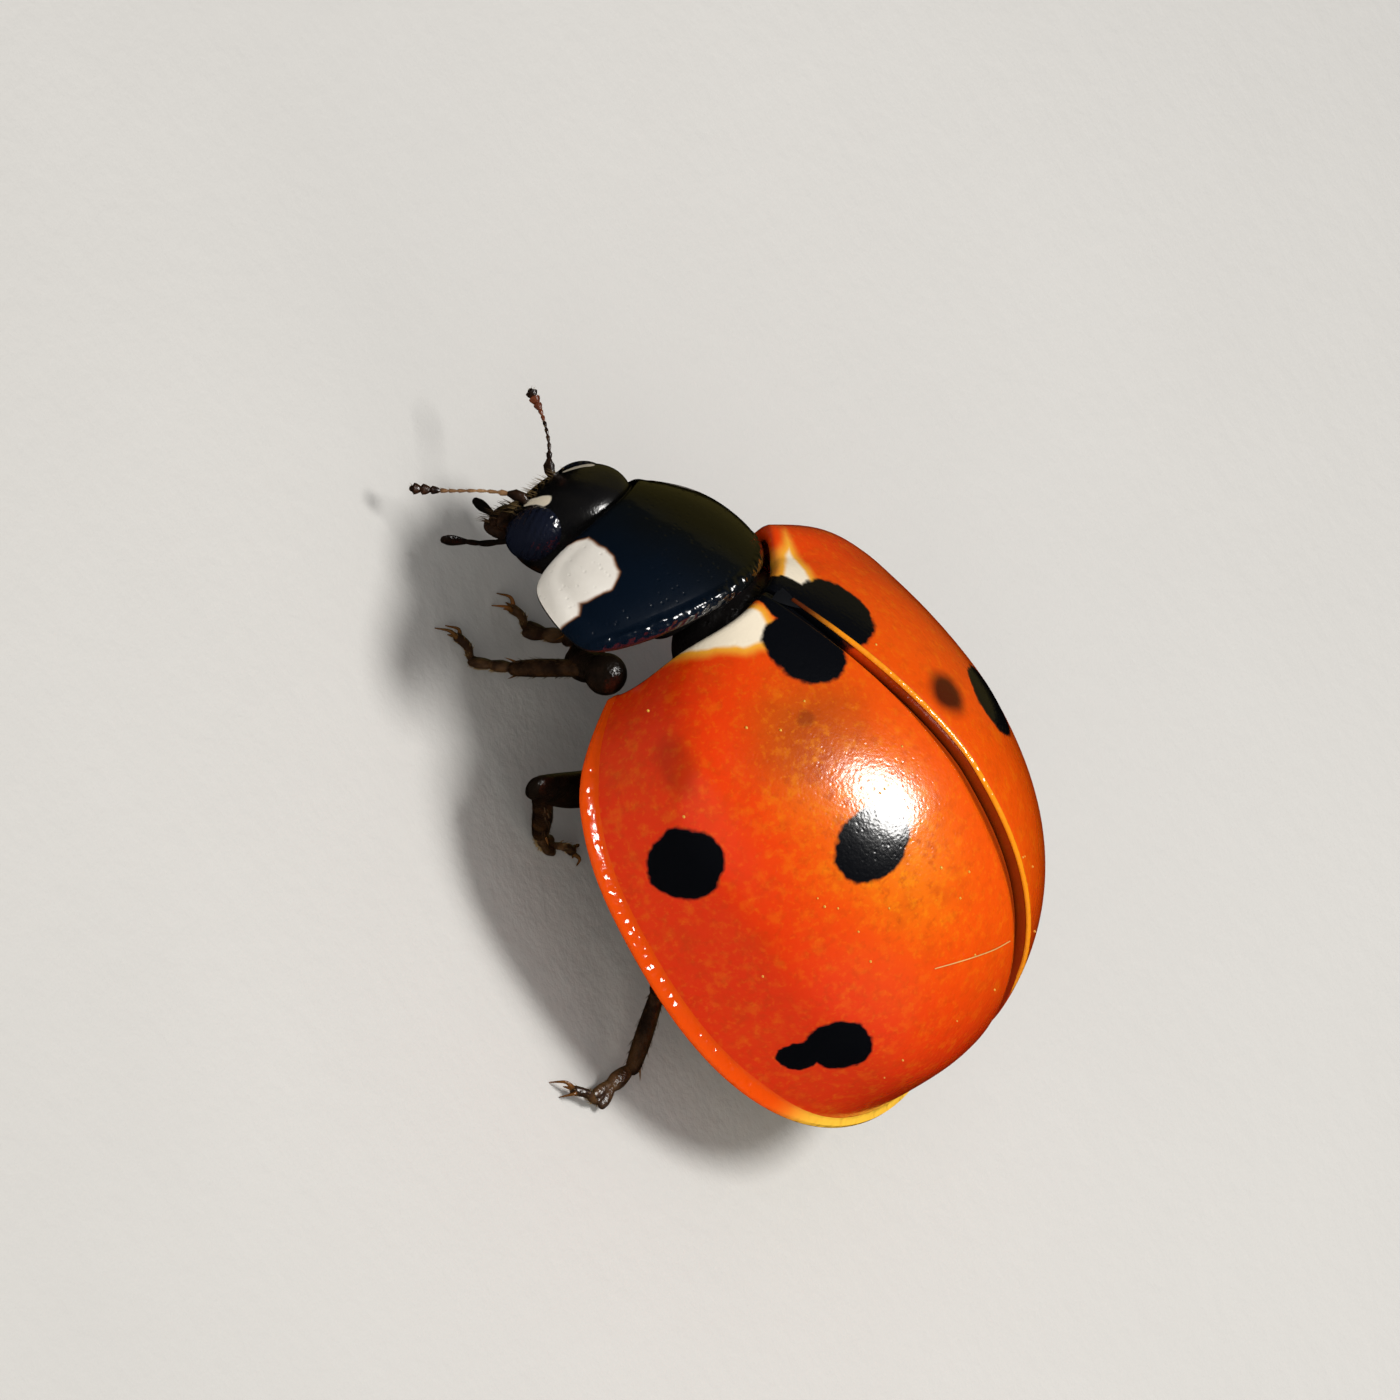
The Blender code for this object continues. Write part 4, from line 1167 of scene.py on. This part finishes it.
def trunk_part(name, node, start, end, relief, materials, add_more):
    """A length of trunk. relief(x, y) is how far its underside stands in."""
    shape = Shape()
    rings = []
    for y in start + (end - start) * np.linspace(0, 1, TRUNK_STATIONS):
        ring, under = trunk_ring(y, 96)
        ring[:, 2] += np.where(under, relief(ring[:, 0], y), 0)
        rings.append(ring)
    caps = []
    for ring in (rings[0], rings[-1]):
        middle = ring.mean(0)
        caps.append([middle + (ring - middle) * size for size in TRUNK_CAP])
    shape.add_grid(np.array(caps[0] + rings + caps[1][::-1]), wrap=True)
    add_more(shape)
    shape.build(name, materials, [node])


def chest_relief(x, y):
    """The chest's seams: one along its middle and two across it."""
    return 0.03 * hump(x, 0, 0.04) + 0.05 * hump(y, 0.62, 0.05) + 0.03 * hump(y, 1.45, 0.05)


def belly_relief(x, y):
    """Belly rings, each standing over the next at its rear edge."""
    ring = np.searchsorted(BELLY_RINGS[1:], y)
    start, end = BELLY_RINGS[ring : ring + 2]
    share = (y - start) / (end - start)
    return np.full_like(x, RING_STEP * (1 - smooth(share / 0.12) * (0.4 + 0.6 * share)))


def hip_balls(shape):
    """The leg roots that the chest carries."""
    for name, (hip, *_) in LEGS.items():
        if not name.startswith("front"):
            inward = math.copysign(0.06, -hip[0])
            shape.add_ball(np.array(hip) + (inward, 0, 0.05), (0.34, 0.20, 0.19), rows=20, columns=28)


def belly_hairs(shape):
    random = np.random.default_rng(5)
    roots, ways = [], []
    for _ in range(BELLY_HAIRS):
        y = random.uniform(CHEST_END + 0.15, 4.75)
        ring, under = trunk_ring(y, 64)
        lower = ring[under]
        point = lower[random.integers(len(lower))].copy()
        point[2] += float(np.max(belly_relief(point[:1], y))) + 0.005
        roots.append(point)
        ways.append((random.normal(0, 0.15), 1.0, -0.30))
    shape.add_hairs(roots, ways, random.uniform(0.06, 0.11, len(roots)), 0.0045, mark=1)


# --- legs ---

FEMUR_RADIUS = 0.225
TIBIA_RADIUS = 0.118
FEMUR_BOW = 0.05  # how far limbs bow out, as shares of their lengths
TIBIA_BOW = 0.045
LIMB_STATIONS = 30
FEMUR_HAIRS = 60
TIBIA_HAIRS = 110
PAD_HAIRS = 130
CLAW_JOINT_HAIRS = 30
SOLE_LIFT = 0.10  # how high the foot's middle line runs over the ground
SOLE_FACING = (0.05, 0.03, 1.0)  # the way in which the pads are flat, and how flat they are
SOLE_FLAT = 0.62
PAD_STATIONS = 9
LOBE_SPREAD = (0.012, 0.062)  # how far the second pad's lobes lie from its middle, rear and front
CLAW_LENGTH = 0.19
KNEE_BALL = ((-0.02, 0.08, 0.03), (0.22, 0.22, 0.22))  # the near knee's round end: place and radii


def leg_plane(joints):
    """The way straight out of the plane of a leg's thigh and shin."""
    hip, knee, ankle = (np.array(joint) for joint in joints[:3])
    return unit(np.cross(knee - hip, ankle - knee))


def limb_route(start, end, plane, bow):
    """A slightly bowed line between two joints."""
    way = end - start
    aside = unit(np.cross(way, plane)) * bow * np.linalg.norm(way)
    return smooth_route([start, (start + end) / 2 - aside, end], LIMB_STATIONS)


def swell(stations, start, middle, end, fullest=0.45):
    """A limb's girth along it: start, fullest and end sizes."""
    share = np.linspace(0, 1, stations)
    first = start + (middle - start) * np.sin(np.clip(share / fullest, 0, 1) * math.pi / 2)
    last = end + (middle - end) * np.cos(np.clip((share - fullest) / (1 - fullest), 0, 1) * math.pi / 2)
    return np.where(share < fullest, first, last)


def add_limb_hairs(shape, random, route, radii, count, reach, lean, lengths, thickness, facing=None):
    """Hairs round the stretch of a limb that reach gives; the larger lean, the further they stand off."""
    shares = random.uniform(*reach, count)
    radius = np.interp(shares, np.linspace(0, 1, len(radii)), radii)
    way = between(shares, np.linspace(0, 1, len(route)), unit(np.gradient(route, axis=0)))
    out = unit(np.cross(way, random.normal(size=(count, 3))))
    if facing is not None:
        out = unit(out + np.asarray(facing) * 1.3)
    roots = along_route(route, shares) + out * radius[:, None] * 0.8
    shape.add_hairs(roots, out * lean + way, random.uniform(*lengths, count), thickness, mark=1)


def thigh(leg, joints, materials):
    shape = Shape()
    hip, knee = np.array(joints[0]), np.array(joints[1])
    plane = leg_plane(joints)
    route = limb_route(hip, knee, plane, FEMUR_BOW)
    radii = FEMUR_RADIUS * swell(LIMB_STATIONS, 0.62, 1.0, 0.66)
    shape.add_tube(route, radii, 24, 0.86 if leg.startswith("front") else 0.70, plane)
    shape.add_ball(hip, (0.15, 0.15, 0.14), rows=16, columns=22)
    if leg == "front_left":
        shape.add_ball(knee + KNEE_BALL[0], KNEE_BALL[1], rows=28, columns=36)
    random = np.random.default_rng(17)
    add_limb_hairs(shape, random, route, radii * 0.8, FEMUR_HAIRS, (0.1, 0.95), 0.5, (0.04, 0.07), 0.0035)
    shape.build("thigh_" + leg, materials, ["femur_" + leg])


def shin(leg, joints, materials):
    shape = Shape()
    knee, ankle = np.array(joints[1]), np.array(joints[2])
    plane = leg_plane(joints)
    route = limb_route(knee, ankle, plane, TIBIA_BOW)
    radii = TIBIA_RADIUS * swell(LIMB_STATIONS, 0.72, 1.0, 0.86, 0.7)
    shape.add_tube(route, radii, 20, 0.8, plane)
    random = np.random.default_rng(23)
    add_limb_hairs(shape, random, route, radii, TIBIA_HAIRS, (0.15, 0.98), 0.5, (0.04, 0.08), 0.0036)
    end_way = unit(ankle - knee)
    for spread in (-1, 1):
        spur = unit(end_way + plane * 0.35 * spread)
        shape.add_hairs([ankle - end_way * 0.02 + plane * 0.06 * spread], [spur], [0.17], 0.016, mark=2)
    shape.build("shin_" + leg, materials, ["tibia_" + leg])


def add_claw(shape, start, forward, out):
    """A bent claw and the tooth at its root; out is the way to its side."""
    middle = start + forward * 0.10 + out * 0.055 + (0, 0, 0.015)
    end = start + forward * CLAW_LENGTH + out * 0.075
    end[2] = GROUND + 0.012
    shape.add_tube(smooth_route([start, middle, end], 12), np.linspace(0.030, 0.006, 12), 10, mark=2)
    tooth = (start + forward * 0.02, start + forward * 0.075 + out * 0.03 + (0, 0, -0.055))
    shape.add_tube(np.linspace(*tooth, 5), np.linspace(0.026, 0.006, 5), 10, mark=2)


def foot(leg, joints, materials):
    """Two padded joints, a tiny third one, the slender claw joint and its two toothed claws."""
    shape = Shape()
    ankle = np.array(joints[2])
    ball = np.array([*joints[3], GROUND + SOLE_LIFT])
    toe = np.array([*joints[4], GROUND + SOLE_LIFT * 1.05])
    instep, arch = (ankle + ball) / 2 + (0, 0, -0.03), (ball + toe) / 2 + (0, 0, 0.05)
    route = smooth_route([ankle, instep, ball, arch, toe], 60)
    first = stretch(route, 0.02, 0.30, PAD_STATIONS)
    first_radii = swell(PAD_STATIONS, 0.045, 0.098, 0.085, 0.8)
    shape.add_tube(first, first_radii, 18, SOLE_FLAT, SOLE_FACING)
    second = stretch(route, 0.30, 0.56, PAD_STATIONS)
    lobe_radii = swell(PAD_STATIONS, 0.04, 0.070, 0.058, 0.7)
    across = unit(np.cross(second[-1] - second[0], UP))
    for side in (-1, 1):
        spread = np.linspace(*LOBE_SPREAD, PAD_STATIONS)[:, None] * across * side
        shape.add_tube(second + spread, lobe_radii, 16, SOLE_FLAT, SOLE_FACING)
    shape.add_tube(stretch(route, 0.50, 0.60, 4), 0.045, 14)
    claw_joint = stretch(route, 0.56, 0.95, 12)
    shape.add_tube(claw_joint, np.linspace(0.036, 0.055, 12), 14)

    random = np.random.default_rng(29)
    for pad, radii in ((first, first_radii), (second, lobe_radii * 1.5)):
        pad = pad - UP * 0.01
        add_limb_hairs(
            shape, random, pad, radii * 0.85, PAD_HAIRS, (0.1, 1.0), 2.0, (0.03, 0.055), 0.0045, -UP)
    girth = np.full(12, 0.04)
    add_limb_hairs(shape, random, claw_joint, girth, CLAW_JOINT_HAIRS, (0.1, 1.0), 0.6, (0.05, 0.09), 0.004)

    forward = unit(toe - claw_joint[0]) * (1, 1, 0)
    for side in (-1, 1):
        add_claw(shape, claw_joint[-1] + across * 0.02 * side, forward, across * side)
    shape.build("foot_" + leg, materials, ["tarsus_" + leg])


# --- floor, lights and camera ---

FLOOR_SIZE = 1200
VIEW_RIGHT = (-0.3689, 0.5349, 0.7601)  # the camera's right, up and backward ways
VIEW_UP = (-0.5268, -0.7941, 0.3031)
VIEW_BACK = (0.7657, -0.2886, 0.5748)
VIEW_SHIFT = (0.713, -0.535)  # the view's middle from the body frame's origin, right and up
VIEW_WIDTH = 14.42
VIEW_DISTANCE = 180
SENSOR = 36
LAMP_TARGET = (0, 2.4, 0.8)  # where the lamps point


def floor():
    paint = Paint("floor", roughness=0.75, specular=0.2)
    paint.base(paint.noise(0.2, 5, 0.6), (0.60, 0.59, 0.57), (0.64, 0.63, 0.61))
    paint.bump(paint.noise(3.0, 5, 0.6), 0.02)
    shape = Shape()
    reach = np.linspace(-1, 1, 9) * FLOOR_SIZE / 2
    x, y = np.meshgrid(reach, reach)
    shape.add_grid(np.stack([x, y, 0 * x], -1))
    ground = placed("floor", shape.mesh("floor", [paint.material]))
    ground.visible_glossy = False


def lamp(name, way, distance, size, power, colour, mirrored=True):
    """A round soft lamp. One that isn't mirrored lights the animal without showing in its gloss."""
    light = bpy.data.lights.new(name, "AREA")
    light.shape = "DISK"
    light.size = size * MM
    light.energy = power
    light.color = colour
    lit = placed(name, light)
    way = Vector(way).normalized()
    lit.location = ORIGIN + (Vector(LAMP_TARGET) + way * distance) * MM
    lit.rotation_euler = way.to_track_quat("Z", "Y").to_euler()
    lit.visible_glossy = mirrored


def studio():
    lamp("key", (-0.127, 0.112, 1.012), 60, 24, 0.031, (1.0, 0.98, 0.95))
    lamp("side_fill", (0.93, -0.20, 0.40), 90, 80, 0.033, (1.0, 0.95, 0.86), False)
    lamp("tail_fill", (0.45, 0.90, 0.28), 90, 80, 0.017, (1.0, 0.95, 0.86), False)
    lamp("sky", (0.45, 0.35, 0.80), 120, 120, 0.0014, (0.62, 0.80, 1.0), False)
    lamp("glow", (-0.95, -0.12, 0.02), 120, 120, 0.0017, (1.0, 0.80, 0.20))
    world = bpy.data.worlds.new("studio")
    world.use_nodes = True
    background = world.node_tree.nodes["Background"]
    background.inputs["Color"].default_value = (0.97, 0.98, 1.0, 1)
    background.inputs["Strength"].default_value = 0.26
    world.cycles_visibility.glossy = False
    bpy.context.scene.world = world
    bpy.context.scene.view_settings.view_transform = "Standard"


def camera():
    lens = bpy.data.cameras.new("camera")
    lens.sensor_width = SENSOR
    lens.lens = VIEW_DISTANCE * SENSOR / VIEW_WIDTH
    lens.clip_start = 0.001
    lens.clip_end = 10
    eye_point = placed("camera", lens)
    right, up, back = (Vector(axis).normalized() for axis in (VIEW_RIGHT, VIEW_UP, VIEW_BACK))
    middle = ORIGIN + (right * VIEW_SHIFT[0] + up * VIEW_SHIFT[1]) * MM
    turn = Matrix((right, up, back)).transposed().to_4x4()
    eye_point.matrix_world = Matrix.Translation(middle + back * VIEW_DISTANCE * MM) @ turn
    bpy.context.scene.camera = eye_point


# Where grains lie, as shares of the cases' length and half width; for the fibre also how high.
POLLEN_AT = (
    (0.04, 0.905), (0.19, 0.89), (0.13, 0.62), (0.51, 0.925), (0.83, 0.80), (0.55, 0.38), (0.74, 0.40))
POLLEN_STRAY = 26
FIBRE = ((0.70, 0.575, 0.01), (0.725, 0.46, 0.05), (0.755, 0.32, 0.045), (0.78, 0.18, 0.01))


def pollen(grain_look, fibre_look):
    """Grains that the animal has picked up, half sunk in its sheen, and one fine fibre."""
    shape = Shape()
    random = np.random.default_rng(19)
    stray_t = random.uniform(0.12, 0.90, POLLEN_STRAY)
    strays = zip(stray_t, random.uniform(-0.2, 0.92, POLLEN_STRAY))
    for t, share in (*POLLEN_AT, *strays):
        size = random.uniform(0.008, 0.014) * (1.35 if (t, share) in POLLEN_AT else 1.0)
        shape.add_ball(dome(t, share), (size, size * 1.2, size * 0.9), rows=8, columns=12)
    route = [dome(t, share) + dome_axes(t, share)[2] * lift for t, share, lift in FIBRE]
    shape.add_tube(smooth_route(route, 24), 0.006, 8, mark=1)
    shape.build("pollen", [grain_look, fibre_look])


# --- the whole animal ---


def build_animal():
    hairs = hair_paint("hair", HAIR_GOLD, HAIR_BROWN)
    bristles = hair_paint("bristle", HAIR_BROWN, (0.02, 0.010, 0.005))
    case_look = [wing_case_paint(), rim_paint()]
    wing_case("elytron_left", 1, case_look)
    wing_case("elytron_right", -1, case_look)
    seam_bead([seam_bead_paint(), lining_paint()])
    pollen(hair_paint("pollen", POLLEN, (0.60, 0.28, 0.03)), hair_paint("fibre", FIBRE_GOLD, HAIR_GOLD))
    dark = plain_black_paint("underside", (0.006, 0.005, 0.005), 0.36, 9.0, 0.012, 0.5)
    neck_shield([shield_paint(), dark])
    scutellum(plain_black_paint("scutellum", roughness=0.85, depth=0.003, coat=0.0, specular=0.15))
    front_trunk(dark)
    middle_back(dark)

    head_capsule(head_paint(), hairs)
    eye_look = eye_paint()
    eye("eye_left", 1, eye_look)
    eye("eye_right", -1, eye_look)
    mouth_parts(horn_paint("mouth", (0.006, 0.004, 0.003), (0.050, 0.020, 0.008)), bristles)
    dark_horn = horn_paint("feeler", (0.008, 0.004, 0.003), (0.045, 0.018, 0.008))
    palp_look = horn_paint("palp", (0.004, 0.003, 0.002), (0.016, 0.008, 0.005), 0.55, 0.3)
    pale_horn = horn_paint("feeler_pale", (0.16, 0.075, 0.030), (0.42, 0.24, 0.11))
    red_horn = horn_paint("feeler_club", (0.10, 0.022, 0.008), (0.20, 0.05, 0.016))
    feeler("antenna_left", (0, 1, 1, 1, 1, 1, 1, 1, 0, 0, 0), [dark_horn, pale_horn, hairs])
    feeler("antenna_right", (0, 0, 0, 0, 0, 0, 1, 1, 1, 1, 0), [dark_horn, red_horn, hairs])
    for name in PALPS:
        palp(name, [palp_look, dark_horn])

    trunk_part("chest", "thorax", TRUNK_FRONT, CHEST_END, chest_relief, [dark], hip_balls)
    trunk_part("belly", "abdomen", CHEST_END + 0.02, 4.9, belly_relief, [dark, hairs], belly_hairs)

    leg_look = horn_paint("leg", LEG_BROWN, (0.024, 0.011, 0.006), 0.55, 0.28)
    shin_look = horn_paint("shin", (0.010, 0.005, 0.003), (0.055, 0.024, 0.008), 0.5, 0.28)
    foot_look = horn_paint("foot", (0.022, 0.010, 0.005), (0.11, 0.055, 0.020), 0.5, 0.35)
    claw_look = horn_paint("claw", (0.10, 0.045, 0.012), AMBER, 0.5, 0.25)
    for leg, joints in LEGS.items():
        thigh(leg, joints, [leg_look, bristles])
        shin(leg, joints, [shin_look, bristles, claw_look])
        foot(leg, joints, [foot_look, hairs, claw_look])


build_animal()
floor()
studio()
camera()
